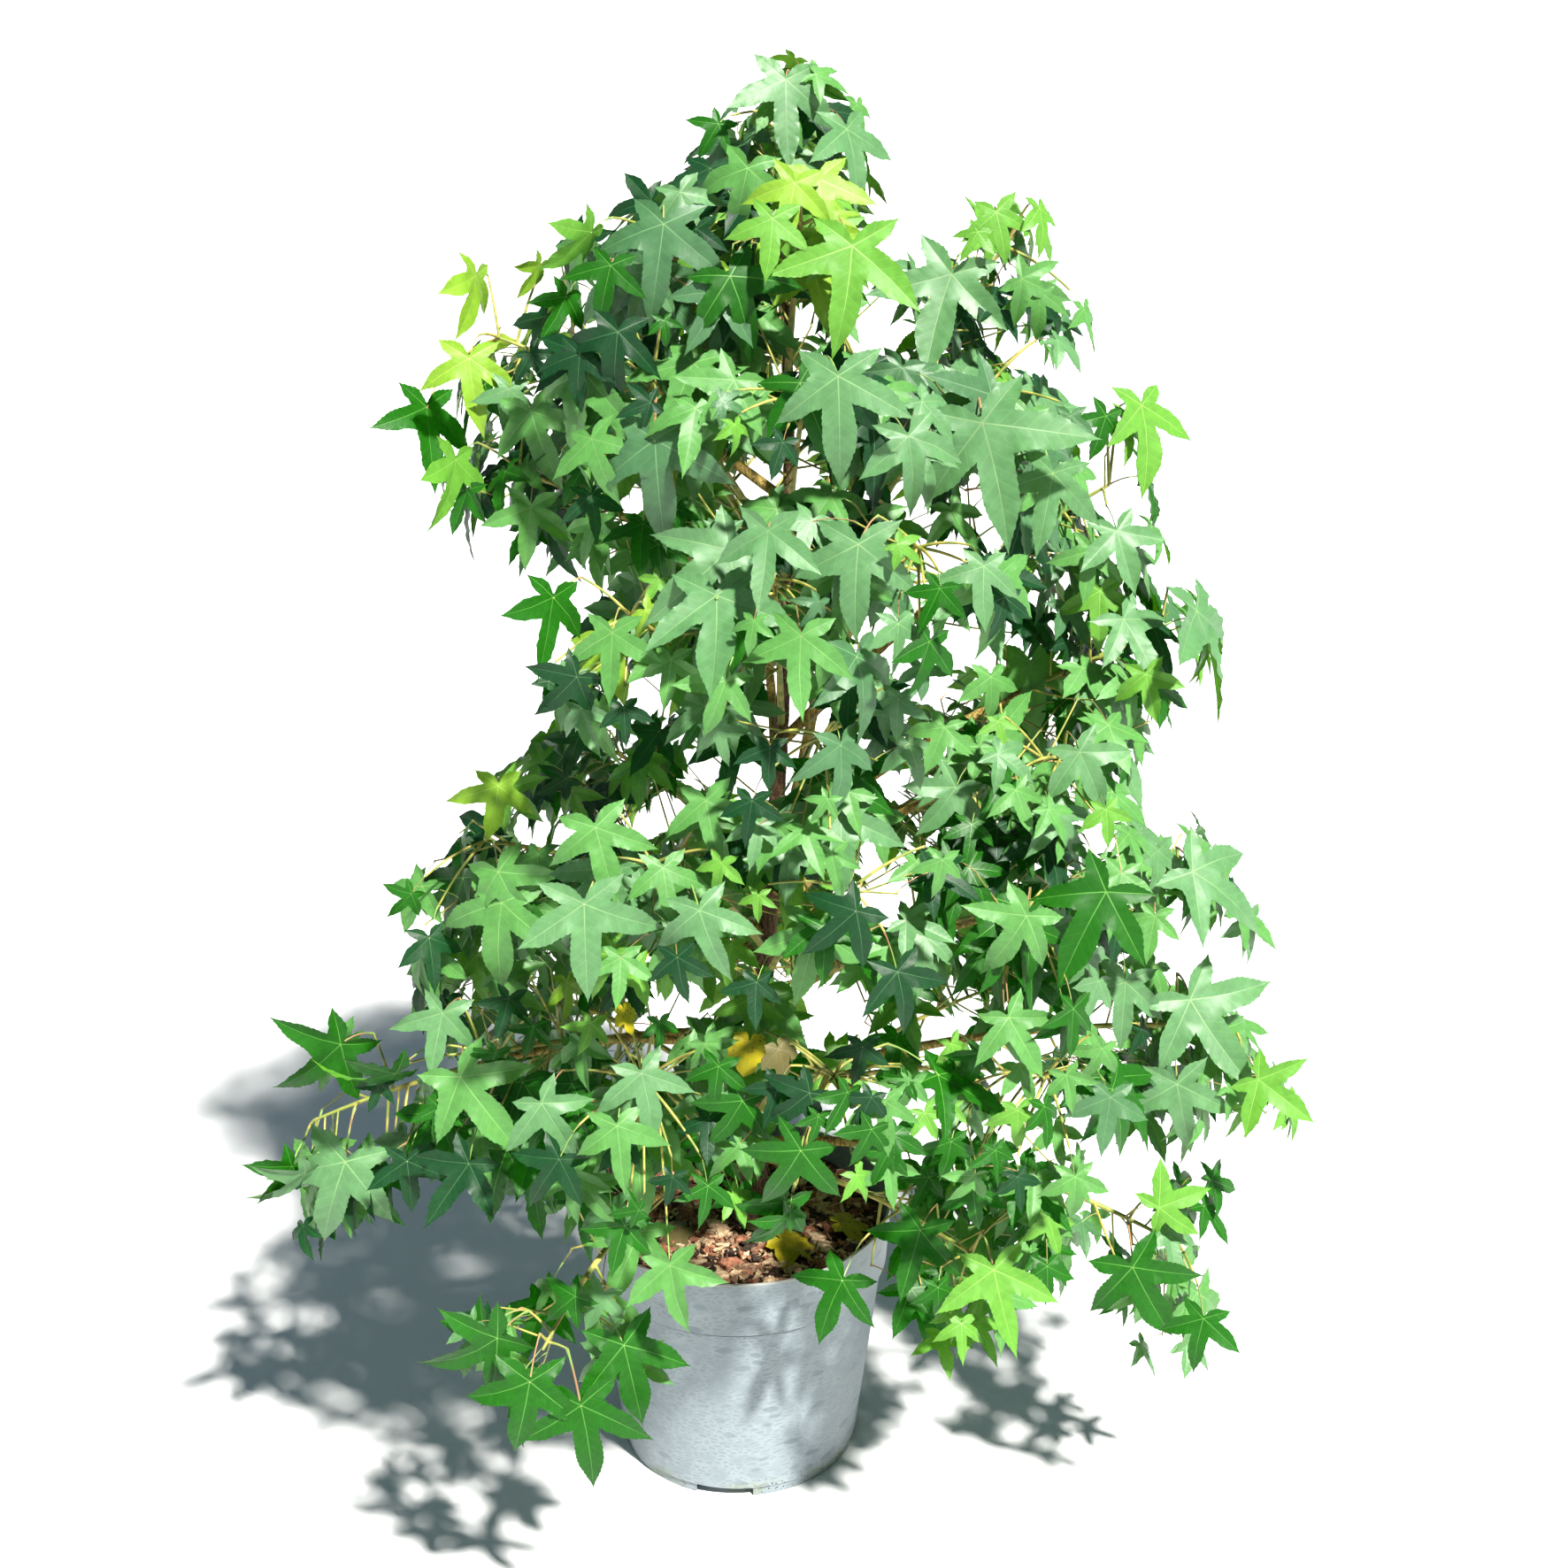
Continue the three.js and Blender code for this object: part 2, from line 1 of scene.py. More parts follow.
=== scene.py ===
# %% [markdown]
# # A young sweetgum in a grey nursery pot
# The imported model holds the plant's true sizes: a pot, its mulch, the trunk, a second leader, sixteen
# boughs and forty masses of foliage. It is loaded first, and everything below is fitted round it. Its box
# is noted at once, because the finished plant has to stay inside it.

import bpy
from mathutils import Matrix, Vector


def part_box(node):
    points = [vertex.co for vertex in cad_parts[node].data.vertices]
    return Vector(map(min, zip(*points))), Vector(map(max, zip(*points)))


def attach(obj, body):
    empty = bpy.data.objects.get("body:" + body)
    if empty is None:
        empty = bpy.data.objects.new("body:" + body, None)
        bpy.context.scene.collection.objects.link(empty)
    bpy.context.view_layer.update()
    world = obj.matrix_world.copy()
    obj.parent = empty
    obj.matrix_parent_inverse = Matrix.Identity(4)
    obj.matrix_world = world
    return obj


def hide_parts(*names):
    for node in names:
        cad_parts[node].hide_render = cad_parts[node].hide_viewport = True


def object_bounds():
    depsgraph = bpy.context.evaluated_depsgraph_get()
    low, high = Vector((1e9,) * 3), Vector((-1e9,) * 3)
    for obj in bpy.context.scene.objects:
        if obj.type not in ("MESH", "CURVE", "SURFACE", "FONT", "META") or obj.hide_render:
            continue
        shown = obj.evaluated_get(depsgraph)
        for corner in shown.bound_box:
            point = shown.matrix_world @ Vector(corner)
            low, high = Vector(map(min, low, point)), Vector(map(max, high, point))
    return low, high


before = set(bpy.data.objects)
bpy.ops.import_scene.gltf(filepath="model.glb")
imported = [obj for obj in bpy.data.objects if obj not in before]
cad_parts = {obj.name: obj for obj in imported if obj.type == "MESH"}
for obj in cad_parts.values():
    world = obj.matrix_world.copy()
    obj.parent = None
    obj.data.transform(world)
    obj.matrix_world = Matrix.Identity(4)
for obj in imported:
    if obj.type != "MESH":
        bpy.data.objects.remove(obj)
cad_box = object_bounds()
print("packed nodes:", len(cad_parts), "box:", [[round(x, 3) for x in corner] for corner in cad_box])

# %% Libraries and units
import math

import bmesh
import bpy
import numpy as np
from mathutils import Vector, noise
from mathutils.geometry import delaunay_2d_cdt

MM = 0.001
UP = np.array([0.0, 0.0, 1.0])
BODY = "root"

# %% [markdown]
# ## The camera
# A plant's portrait is taken from the height of its crown, looking a little down, so that the upper sides
# of the leaves show. A longer lens than the eye's keeps the pot upright.

# %% The camera
CAMERA_PLACE = (0.042, -1.86, 1.43)
CAMERA_PITCH = 22.5  # degrees below the horizon
FOCAL_SHARE = 2676 / 1772  # focal length as a share of the picture's width


def add_camera():
    data = bpy.data.cameras.new("camera")
    data.sensor_width = 36
    data.lens = FOCAL_SHARE * data.sensor_width
    camera = bpy.data.objects.new("camera", data)
    camera.location = CAMERA_PLACE
    camera.rotation_euler = (math.radians(90 - CAMERA_PITCH), 0, 0)
    bpy.context.scene.collection.objects.link(camera)
    bpy.context.scene.camera = camera
    return camera


print("lens:", round(add_camera().data.lens, 1), "mm")

# %% [markdown]
# ## The floor and the light
# The plant stands on a plain pale floor. A white world lights it softly from all sides, and one far lamp in
# front, to the right and above stands for the sun: wide enough for soft shadows, strong enough that lit
# leaves part from the shaded ones inside the crown. A sun lamp lights the whole floor alike, where a near
# one would leave a bright pool.

# %% The floor and the light
FLOOR_SIZE = 90
FLOOR_TONE = (0.72, 0.73, 0.74, 1)
WORLD = {"tone": (0.62, 0.86, 1.0, 1), "strength": 0.23}
KEY = {"from": (1.2, -1.8, 2.9), "degrees": 3.2, "strength": 10.8, "tone": (1.0, 0.97, 0.91)}


def add_floor():
    mesh = bpy.data.meshes.new("floor")
    half = FLOOR_SIZE / 2
    corners = [(-half, -half, 0), (half, -half, 0), (half, half, 0), (-half, half, 0)]
    mesh.from_pydata(corners, [], [(0, 1, 2, 3)])
    material = bpy.data.materials.new("floor")
    material.use_nodes = True
    shader = material.node_tree.nodes["Principled BSDF"]
    shader.inputs["Base Color"].default_value = FLOOR_TONE
    shader.inputs["Roughness"].default_value = 0.9
    mesh.materials.append(material)
    floor = bpy.data.objects.new("floor", mesh)
    bpy.context.scene.collection.objects.link(floor)


def add_key():
    data = bpy.data.lights.new("key", "SUN")
    data.angle = math.radians(KEY["degrees"])
    data.energy = KEY["strength"]
    data.color = KEY["tone"]
    lamp = bpy.data.objects.new("key", data)
    lamp.location = KEY["from"]
    lamp.rotation_euler = Vector(KEY["from"]).to_track_quat("Z", "Y").to_euler()
    bpy.context.scene.collection.objects.link(lamp)


def add_world():
    world = bpy.data.worlds.new("studio")
    world.use_nodes = True
    background = world.node_tree.nodes["Background"]
    background.inputs["Color"].default_value = WORLD["tone"]
    background.inputs["Strength"].default_value = WORLD["strength"]
    bpy.context.scene.world = world


add_floor()
add_key()
add_world()
bpy.context.scene.view_settings.view_transform = "Standard"

# %% [markdown]
# ## A small language for finishes
# A material is a graph of nodes. Written out node by node it hides its own idea, so a socket is wrapped in
# a class whose operators add the Math nodes: `1 - mask` or `height * 0.3` read as they would on paper.
# Every other node comes from one method, which takes its kind, its settings and what goes into its sockets.


# %% A socket with operators
class Level:
    """A number that varies over a surface."""

    def __init__(self, finish, socket):
        self.finish = finish
        self.socket = socket

    def maths(self, operation, *others):
        values = dict(enumerate([self, *others]))
        return self.finish.node("Math", {"operation": operation}, values)

    def __add__(self, other):
        return self.maths("ADD", other)

    def __radd__(self, other):
        return self.maths("ADD", other)

    def __mul__(self, other):
        return self.maths("MULTIPLY", other)

    def __rmul__(self, other):
        return self.maths("MULTIPLY", other)

    def __sub__(self, other):
        return self.maths("SUBTRACT", other)

    def __rsub__(self, other):
        return (self * -1).maths("ADD", other)

    def between(self, low, high):
        """0 below low, 1 above high and smooth in between."""
        ends = {0: self, 1: low, 2: high}
        return self.finish.node("MapRange", {"interpolation_type": "SMOOTHSTEP"}, ends)


# %% A finish under construction
class Finish:
    """A material. Its constants are set on the shader itself, and what varies is linked by set()."""

    def __init__(self, name, color, roughness=0.5, **constants):
        self.material = bpy.data.materials.new(name)
        self.material.use_nodes = True
        self.tree = self.material.node_tree
        self.shader = self.tree.nodes["Principled BSDF"]
        self.set("Base Color", (*color, 1))
        self.set("Roughness", roughness)
        for socket, value in constants.items():
            self.set(socket.replace("_", " "), value)

    def join(self, value, socket):
        if isinstance(value, Level):
            self.tree.links.new(value.socket, socket)
        else:
            socket.default_value = value

    def set(self, name, value):
        self.join(value, self.shader.inputs[name])

    def node(self, kind, settings=None, inputs=None, output=0):
        node = self.tree.nodes.new("ShaderNode" + kind)
        for key, value in (settings or {}).items():
            setattr(node, key, value)
        for key, value in (inputs or {}).items():
            self.join(value, node.inputs[key])
        return Level(self, node.outputs[output])

    def place(self):
        """Where a point is, in the object's own metres."""
        return self.node("TexCoord", output="Object")

    def noise(self, scale, detail=2.0, place=None):
        inputs = {"Vector": place or self.place(), "Scale": scale, "Detail": detail}
        return self.node("TexNoise", inputs=inputs)

    def cells(self, scale, place=None, feature="F1"):
        inputs = {"Vector": place or self.place(), "Scale": scale}
        return self.node("TexVoronoi", {"feature": feature}, inputs)

    def stretched(self, x, y, z):
        """The object's metres, scaled apart along each axis."""
        return self.node("Mapping", inputs={"Vector": self.place(), "Scale": (x, y, z)})

    def height(self):
        """Height above the ground."""
        return self.node("SeparateXYZ", inputs={0: self.place()}, output="Z")

    def mix(self, share, first, second):
        """A colour between two others."""
        pair = [value if isinstance(value, Level) else (*value, 1) for value in (first, second)]
        inputs = {0: share, 6: pair[0], 7: pair[1]}
        return self.node("Mix", {"data_type": "RGBA", "clamp_factor": True}, inputs, output=2)

    def bump(self, height, depth, strength=1.0):
        inputs = {"Height": height, "Distance": depth, "Strength": strength}
        self.set("Normal", self.node("Bump", inputs=inputs))


# %% [markdown]
# ## Meshes from arrays
# A plant is thousands of small things. Making an object of each would be slow and would not export, so
# their points and triangles are gathered in arrays and become a few large meshes.


# %% A heap of triangles
class Heap:
    """Points and triangles gathered for one mesh, and two numbers for each corner where they're given."""

    def __init__(self):
        self.points = []
        self.faces = []
        self.slots = []
        self.places = []
        self.count = 0

    def add(self, points, faces, slots=None, places=None):
        self.points.append(points)
        self.faces.append(faces + self.count)
        self.slots.append(np.zeros(len(faces), np.int32) if slots is None else slots)
        if places is not None:
            self.places.append(places)
        self.count += len(points)

    def triangles(self):
        return sum(len(faces) for faces in self.faces)

    def piece(self, name, finishes, crease=60.0):
        """The heap as an object that rides on the plant."""
        points = np.concatenate(self.points).astype(np.float32)
        faces = np.concatenate(self.faces).astype(np.int32)
        mesh = bpy.data.meshes.new(name)
        mesh.vertices.add(len(points))
        mesh.vertices.foreach_set("co", points.ravel())
        mesh.loops.add(faces.size)
        mesh.loops.foreach_set("vertex_index", faces.ravel())
        mesh.polygons.add(len(faces))
        mesh.polygons.foreach_set("loop_start", np.arange(0, faces.size, 3, dtype=np.int32))
        mesh.polygons.foreach_set("material_index", np.concatenate(self.slots).astype(np.int32))
        if self.places:
            layer = mesh.uv_layers.new(name="blade")
            layer.data.foreach_set("uv", np.concatenate(self.places).astype(np.float32).ravel())
        mesh.update(calc_edges=True)
        mesh.shade_smooth()
        mesh.set_sharp_from_angle(angle=math.radians(crease))
        for finish in finishes:
            mesh.materials.append(finish.material)
        made = bpy.data.objects.new(name, mesh)
        bpy.context.scene.collection.objects.link(made)
        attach(made, BODY)
        print(f"{name}: {len(faces)} triangles")
        return made


# %% Vectors and curves
def unit(vectors):
    """Vectors scaled to a length of one."""
    return vectors / np.linalg.norm(vectors, axis=-1, keepdims=True)


class Curve:
    """A Bezier curve, by its control points."""

    def __init__(self, *points):
        self.points = np.array(points, float)

    def at(self, t):
        return self.blend(self.points, t)

    def along(self, t):
        return unit(self.blend(np.diff(self.points, axis=0), t))

    def length(self):
        line = self.at(np.linspace(0, 1, 20))
        return np.linalg.norm(np.diff(line, axis=0), axis=1).sum()

    def stretch(self, start, end):
        """The part of a curve of three points from one share of it to another."""
        first, middle, last = self.points
        bend = (1 - start) * (1 - end) * first + (start + end - 2 * start * end) * middle + start * end * last
        return Curve(self.at(start), bend, self.at(end))

    @staticmethod
    def blend(points, t):
        t = np.asarray(t, float)[..., None]
        n = len(points) - 1
        return sum(math.comb(n, k) * (1 - t) ** (n - k) * t**k * points[k] for k in range(n + 1))


# %% [markdown]
# A twig is a tube: rings of points round a line. Each ring's frame is carried on from the one before it, so
# that the tube doesn't twist where the line bends.


# %% Tubes
def tube_faces(rings, sides):
    """The triangles of a tube of so many rings, with a point at each end."""
    ring, side = np.meshgrid(np.arange(rings - 1), np.arange(sides), indexing="ij")
    here = ring * sides + side
    beside = ring * sides + (side + 1) % sides
    wall = [[here, beside, beside + sides], [here, beside + sides, here + sides]]
    around = np.arange(sides)
    after = (around + 1) % sides
    foot = np.stack([np.full(sides, rings * sides), after, around], 1)
    top = (rings - 1) * sides
    head = np.stack([np.full(sides, rings * sides + 1), top + around, top + after], 1)
    walls = [np.stack([corners.ravel() for corners in half], 1) for half in wall]
    return np.concatenate([*walls, foot, head])


def tube(line, radii, sides):
    """Points and triangles of a tube round a line, with a radius for each ring or for each of its sides."""
    tangents = unit(np.gradient(line, axis=0))
    side = np.cross(tangents[0], (0.31, 0.95, 0.05))
    turns = np.arange(sides) * 2 * math.pi / sides
    rings = []
    for centre, tangent, radius in zip(line, tangents, radii):
        side = unit(side - side.dot(tangent) * tangent)
        other = np.cross(tangent, side)
        spokes = np.cos(turns)[:, None] * side + np.sin(turns)[:, None] * other
        rings.append(centre + spokes * np.reshape(radius, (-1, 1)))
    points = np.concatenate([*rings, line[:1], line[-1:]])
    return points, tube_faces(len(line), sides)


# %% [markdown]
# ## The plan of the crown
# The trunk, the second leader and the forty masses of foliage are placed by the same table and the same
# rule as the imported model, so that whatever is grown here stands where its solids stand. The table is in
# millimetres.

# %% The trunk and the second leader
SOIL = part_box("trunk")[0].z
TRUNK_CURVE = Curve((0.012, 0, SOIL - 0.002), (0.020, 0.008, 0.520), (0.058, 0.004, 0.760), (0.042, 0, 1.090))
LEADER_CURVE = Curve((0.040, 0.003, 0.585), (0.078, -0.044, 0.800), (0.106, -0.054, 0.985))
TRUNK = {"radius": 0.010, "tip": 0.0034, "sides": 30, "step": 0.0022, "relief": 0.0008}
TRUNK.update(flare=0.008, flare_share=0.07)  # the root flare, and the share of the trunk in which it fades
LEADER = {"radius": 0.0052, "tip": 0.003, "sides": 20, "step": 0.0024, "relief": 0.0007}
BOUGH = {"tip": 0.0033, "sides": 12, "step": 0.0035, "relief": 0.0005}
print("the trunk starts", round(SOIL, 4), "m above the ground")

# %% The masses of foliage
# what it grows from, height of that root, heading in degrees, reach, height of its middle, spread, depth
MASSES = {
    "top": ("trunk", 1090, 0, 0, 1198, 70, 60),
    "upper_left_front": ("trunk", 975, -133, 140, 1121, 72, 66),
    "upper_front": ("trunk", 1010, -86, 131, 1130, 70, 67),
    "upper_right": ("trunk", 862, -1, 162, 1088, 70, 78),
    "upper_left": ("trunk", 905, 176, 224, 1010, 70, 88),
    "left_shoulder": ("trunk", 800, -168, 207, 920, 79, 81),
    "front_upper": ("trunk", 882, -87, 223, 1025, 78, 74),
    "right_shoulder": ("leader", 880, -38, 120, 1000, 83, 90),
    "left_front_upper": ("trunk", 842, -120, 188, 1017, 81, 81),
    "right_high": ("trunk", 695, -1, 258, 890, 76, 104),
    "right_far": ("trunk", 600, -8, 308, 780, 84, 88),
    "front_mid_right": ("leader", 740, -73, 230, 924, 79, 71),
    "front_mid": ("trunk", 712, -91, 274, 907, 74, 74),
    "front_mid_left": ("trunk", 678, -117, 230, 857, 80, 72),
    "left_waist": ("trunk", 572, -178, 147, 681, 69, 72),
    "right_mid": ("trunk", 555, -35, 270, 726, 86, 72),
    "front_waist": ("leader", 660, -86, 245, 785, 84, 74),
    "left_low": ("trunk", 515, -155, 244, 625, 78, 90),
    "front_low_left": ("trunk", 498, -106, 285, 687, 82, 78),
    "front_low": ("trunk", 467, -77, 292, 674, 82, 74),
    "right_low": ("trunk", 452, -13, 361, 586, 99, 66),
    "right_lower": ("trunk", 436, -48, 300, 630, 85, 70),
    "right_far_low": ("trunk", 364, -12, 406, 444, 86, 92),
    "right_low_front": ("trunk", 348, -45, 318, 482, 94, 84),
    "left_far_low": ("trunk", 418, -167, 384, 350, 90, 105),
    "left_lower": ("trunk", 398, -143, 269, 460, 94, 99),
    "front_base_left": ("trunk", 320, -107, 270, 495, 92, 92),
    "front_base": ("trunk", 334, -76, 260, 499, 84, 78),
    "right_base": ("trunk", 292, -49, 269, 308, 88, 62),
    "right_tip_low": ("trunk", 306, -19, 381, 252, 86, 95),
    "left_drooper": ("trunk", 278, -120, 322, 262, 74, 84),
    "back_top": ("trunk", 950, 95, 120, 1085, 85, 85),
    "back_upper_left": ("trunk", 825, 128, 200, 950, 95, 90),
    "back_upper_right": ("leader", 840, 62, 215, 930, 95, 90),
    "back_middle": ("trunk", 660, 95, 250, 800, 110, 90),
    "back_low_left": ("trunk", 482, 132, 270, 530, 115, 95),
    "back_low_right": ("trunk", 532, 45, 300, 570, 115, 95),
    "back_base": ("trunk", 380, 88, 290, 420, 115, 95),
    "back_base_left": ("trunk", 340, 142, 300, 350, 105, 85),
    "back_base_right": ("trunk", 326, 38, 310, 345, 110, 85),
}
# The boughs: the share of the way at which each ends, its radius at its root, and how far it arches, where
# it isn't a tenth of its length.
BOUGHS = {
    "upper_right": (0.6, 4.5),
    "upper_left": (0.6, 4.5),
    "left_shoulder": (0.6, 4.5),
    "right_high": (0.6, 5),
    "right_far": (0.7, 5),
    "left_low": (0.6, 5),
    "right_mid": (0.55, 5),
    "right_low": (0.6, 5.5),
    "right_far_low": (0.6, 5),
    "left_far_low": (0.6, 5.5, 50),
    "left_lower": (0.55, 5),
    "right_tip_low": (0.62, 4.5, 70),
    "left_drooper": (0.65, 4, 110),
    "back_middle": (0.5, 5),
    "back_low_left": (0.55, 5.5),
    "back_low_right": (0.55, 5.5),
}
LIMB_ARCH = 0.1  # of a limb's length
LIMB_PAST = 0.1  # how far a limb goes past its mass's middle, as a share of the spread
LIMB_OVER = 0.3  # and how far over it, as a share of the depth
TWIG_STEM = (0, 3.3)  # a mass without a bough: its stem starts at the wood, with this radius
CROWN_MIDDLE = 0.040


# %% Each mass's place and limb
def share_at(curve, height):
    """The share of an upright curve at which it is a height above the ground."""
    shares = np.linspace(0, 1, 2001)
    return float(np.interp(height, curve.at(shares)[:, 2], shares))


class Mass:
    """A mass of foliage: its space, and the limb that bears it."""

    def __init__(self, name, parent, root_height, heading, reach, height, spread, depth):
        turn = math.radians(heading)
        wood = TRUNK_CURVE if parent == "trunk" else LEADER_CURVE
        self.name = name
        self.outward = np.array([math.cos(turn), math.sin(turn), 0])
        self.spread = spread * MM
        self.depth = depth * MM
        self.root = wood.at(share_at(wood, root_height * MM))
        self.middle = self.root + self.outward * reach * MM
        self.middle[2] = height * MM
        self.share, girth, *arch = BOUGHS.get(name, TWIG_STEM)
        self.girth = girth * MM
        far = self.middle + self.outward * LIMB_PAST * self.spread + UP * LIMB_OVER * self.depth
        rise = arch[0] * MM if arch else LIMB_ARCH * np.linalg.norm(far - self.root)
        self.limb = Curve(self.root, (self.root + far) / 2 + UP * rise, far)

    def holds(self, points):
        """True for each group of points that is all in the mass's space."""
        offset = points - self.middle
        across = np.hypot(offset[..., 0], offset[..., 1]) / (self.spread + STRAY)
        upright = np.abs(offset[..., 2]) / (self.depth + STRAY)
        return (across**SPACE_POWER + upright**SPACE_POWER <= 1).all(-1)


STRAY = 0.032  # how far a leaf's tip may leave the space
SPACE_POWER = 2.5
masses = [Mass(name, *row) for name, row in MASSES.items()]
print("masses:", len(masses))

# %% [markdown]
# ## Bark
# A young sweetgum's bark is thin, brown and set with corky ridges and rows of yellow-brown pores. A texture
# alone looks painted on close to the silhouette, so the relief is real: each ring of the trunk's tube gets
# its own radius at each side, from noise that is stretched along the limb, with the pores as small
# swellings.


# %% Bark finishes
def bark_finish(name, dark, light, pore):
    finish = Finish(name, dark, 0.85, Specular_IOR_Level=0.25)
    fissures = finish.noise(1.0, 6, finish.stretched(420, 420, 90)).between(0.38, 0.62)
    pores = 1 - finish.cells(1.0, finish.stretched(260, 260, 420)).between(0.16, 0.34)
    patches = finish.noise(60, 3).between(0.4, 0.65)
    wood = finish.mix(fissures, dark, light)
    finish.set("Base Color", finish.mix(pores * (0.35 + patches * 0.65), wood, pore))
    finish.bump(fissures * 0.6 + pores * 0.5, 0.0009)
    return finish


BARK = bark_finish("trunk_brown", (0.055, 0.030, 0.016), (0.17, 0.10, 0.055), (0.36, 0.23, 0.085))
YOUNG_BARK = bark_finish("bough_ochre", (0.19, 0.125, 0.036), (0.42, 0.30, 0.075), (0.60, 0.46, 0.16))
SHOOT_GREEN = Finish("shoot_green", (0.22, 0.27, 0.055), 0.55)
SHOOT_GREEN.set(
    "Base Color",
    SHOOT_GREEN.mix(SHOOT_GREEN.noise(90).between(0.4, 0.62), (0.20, 0.24, 0.04), (0.42, 0.36, 0.08)),
)
STALK_GREEN = Finish("stalk_green", (0.24, 0.36, 0.09), 0.5)
STALK_GREEN.set(
    "Base Color",
    STALK_GREEN.mix(STALK_GREEN.noise(14).between(0.45, 0.6), (0.25, 0.40, 0.10), (0.36, 0.20, 0.10)),
)
print("bark finishes:", BARK.material.name, YOUNG_BARK.material.name)


# %% Wood with relief
RIDGES = {"around": 260, "along": 45}  # how fine they are, in cells of noise to the metre
SWELLINGS = {"finer": 2.2, "along": 260, "height": 0.7}
WOOD_CREASE = 80  # degrees: bark has no edges sharper than this
SAME_WOOD = 50  # each limb starts at a place of its own in the noise


def relief(line, radii, sides, depth, random):
    """Radii for each side of each ring: ridges that run along the limb, and small swellings."""
    turns = np.arange(sides) * 2 * math.pi / sides
    run = np.concatenate([[0], np.cumsum(np.linalg.norm(np.diff(line, axis=0), axis=1))])
    start = random.uniform(0, SAME_WOOD)
    rough = np.empty((len(line), sides))
    for i, (distance, radius) in enumerate(zip(run, radii)):
        for j, turn in enumerate(turns):
            x = math.cos(turn) * radius * RIDGES["around"]
            y = math.sin(turn) * radius * RIDGES["around"]
            ridge = Vector((x, y, start + distance * RIDGES["along"]))
            finer = SWELLINGS["finer"]
            swelling = Vector((ridge.x * finer, ridge.y * finer, start + distance * SWELLINGS["along"]))
            rough[i, j] = noise.noise(ridge) + SWELLINGS["height"] * noise.noise(swelling)
    return np.asarray(radii)[:, None] + depth * rough


def add_limb(heap, curve, radius, size, random):
    """A limb with relief, from its radius at the root to its tip."""
    shares = np.linspace(0, 1, max(6, int(curve.length() / size["step"])))
    line = curve.at(shares)
    radii = radius + (size["tip"] - radius) * shares
    if "flare" in size:
        radii = radii + size["flare"] * np.exp(-shares / size["flare_share"])
    heap.add(*tube(line, relief(line, radii, size["sides"], size["relief"], random), size["sides"]))


random = np.random.RandomState(7)
trunk = Heap()
add_limb(trunk, TRUNK_CURVE, TRUNK["radius"], TRUNK, random)
trunk.points[0][:, 2] = np.maximum(trunk.points[0][:, 2], SOIL)
trunk_piece = trunk.piece("trunk_bark", [BARK], WOOD_CREASE)
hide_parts("trunk")
leader = Heap()
add_limb(leader, LEADER_CURVE, LEADER["radius"], LEADER, random)
leader_piece = leader.piece("leader_bark", [YOUNG_BARK], WOOD_CREASE)
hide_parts("leader")

# %% The boughs
boughs = Heap()
for mass in masses:
    if mass.share:
        add_limb(boughs, mass.limb.stretch(0, mass.share), mass.girth, BOUGH, random)
boughs_piece = boughs.piece("boughs_bark", [YOUNG_BARK], WOOD_CREASE)
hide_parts(*["bough_" + name for name in BOUGHS])

# %% [markdown]
# ## The shape of a leaf
# A sweetgum's leaf is a five-pointed star. Its outline is worked out lobe by lobe: from each notch the edge
# swells to the lobe's widest place and tapers to a drawn-out tip, with fine forward-pointing teeth. The
# main veins are thin strips of their own faces, so that they keep their pale colour at any distance. A
# constrained Delaunay triangulation fills the outline round them.

# %% The sizes of a leaf, as shares of its middle lobe
LOBES = [(-124, 0.46), (-60, 0.80), (0, 1.0), (60, 0.80), (124, 0.46)]  # heading in degrees, reach
NOTCHES = [(-166, 0.050), (-92, 0.22), (-27, 0.29), (27, 0.29), (92, 0.22), (166, 0.050)]
LOBE_WIDTH = 0.147  # half the middle lobe's width
WIDEST = 0.38  # where a lobe is widest, as a share of the way from notch to tip
TOOTH = 0.058  # length of a tooth
SMALL_TOOTH = 0.13  # the same on a leaf that is too small for its teeth to be seen
TOOTH_DEPTH = 0.009
SMALL = 0.062  # the length of such a leaf
VEIN = 0.0054  # half a main vein's width at its foot
VEIN_TIP = 0.0010  # what is left of that at its end
VEIN_END = 0.90
STATIONS = [0.02, 0.25, 0.5, 0.75, VEIN_END]  # the points along a main vein, as shares of its lobe
RIBS = [0.3, 0.44, 0.58, 0.72]  # the points beside it, which let the blade bend
PLAIN_STATIONS = [0.02, 0.45, VEIN_END]  # the same on a small leaf
PLAIN_RIBS = [0.38, 0.66]
RIB_ASIDE = 0.075
LOBE_STRAY = 5  # degrees that a lobe may be off its heading
SPREAD = {"reach": (0.92, 1.08), "notch": (0.88, 1.12), "width": (0.86, 1.12), "bite": (0.5, 1.3)}


def heading_of(degrees):
    turn = math.radians(degrees)
    return np.array([math.cos(turn), math.sin(turn)])


def lobe_side(tip_heading, reach, notch, width, tooth, random):
    """The edge from a notch to a lobe's tip, without the tip."""
    ahead = heading_of(tip_heading)
    across = np.array([-ahead[1], ahead[0]])
    start = notch @ ahead
    side = math.copysign(1, notch @ across)
    foot = abs(notch @ across)
    teeth = max(3, round((reach - start) / tooth))
    points = []
    for i in range(teeth):
        for share, bite in ((i / teeth, -0.3), ((i + 0.68) / teeth, 0.7)):
            if share < WIDEST:
                half = foot + (width - foot) * math.sin(math.pi / 2 * share / WIDEST)
            else:
                rest = (1 - share) / (1 - WIDEST)
                half = width * math.sin(math.pi / 2 * rest**1.05) ** 1.5
            if i > 0 or bite > 0:
                half += bite * TOOTH_DEPTH * random.uniform(*SPREAD["bite"]) * min(1, 4 * (1 - share))
            along = start + (reach - start) * share
            points.append(ahead * along + across * side * half)
    return points


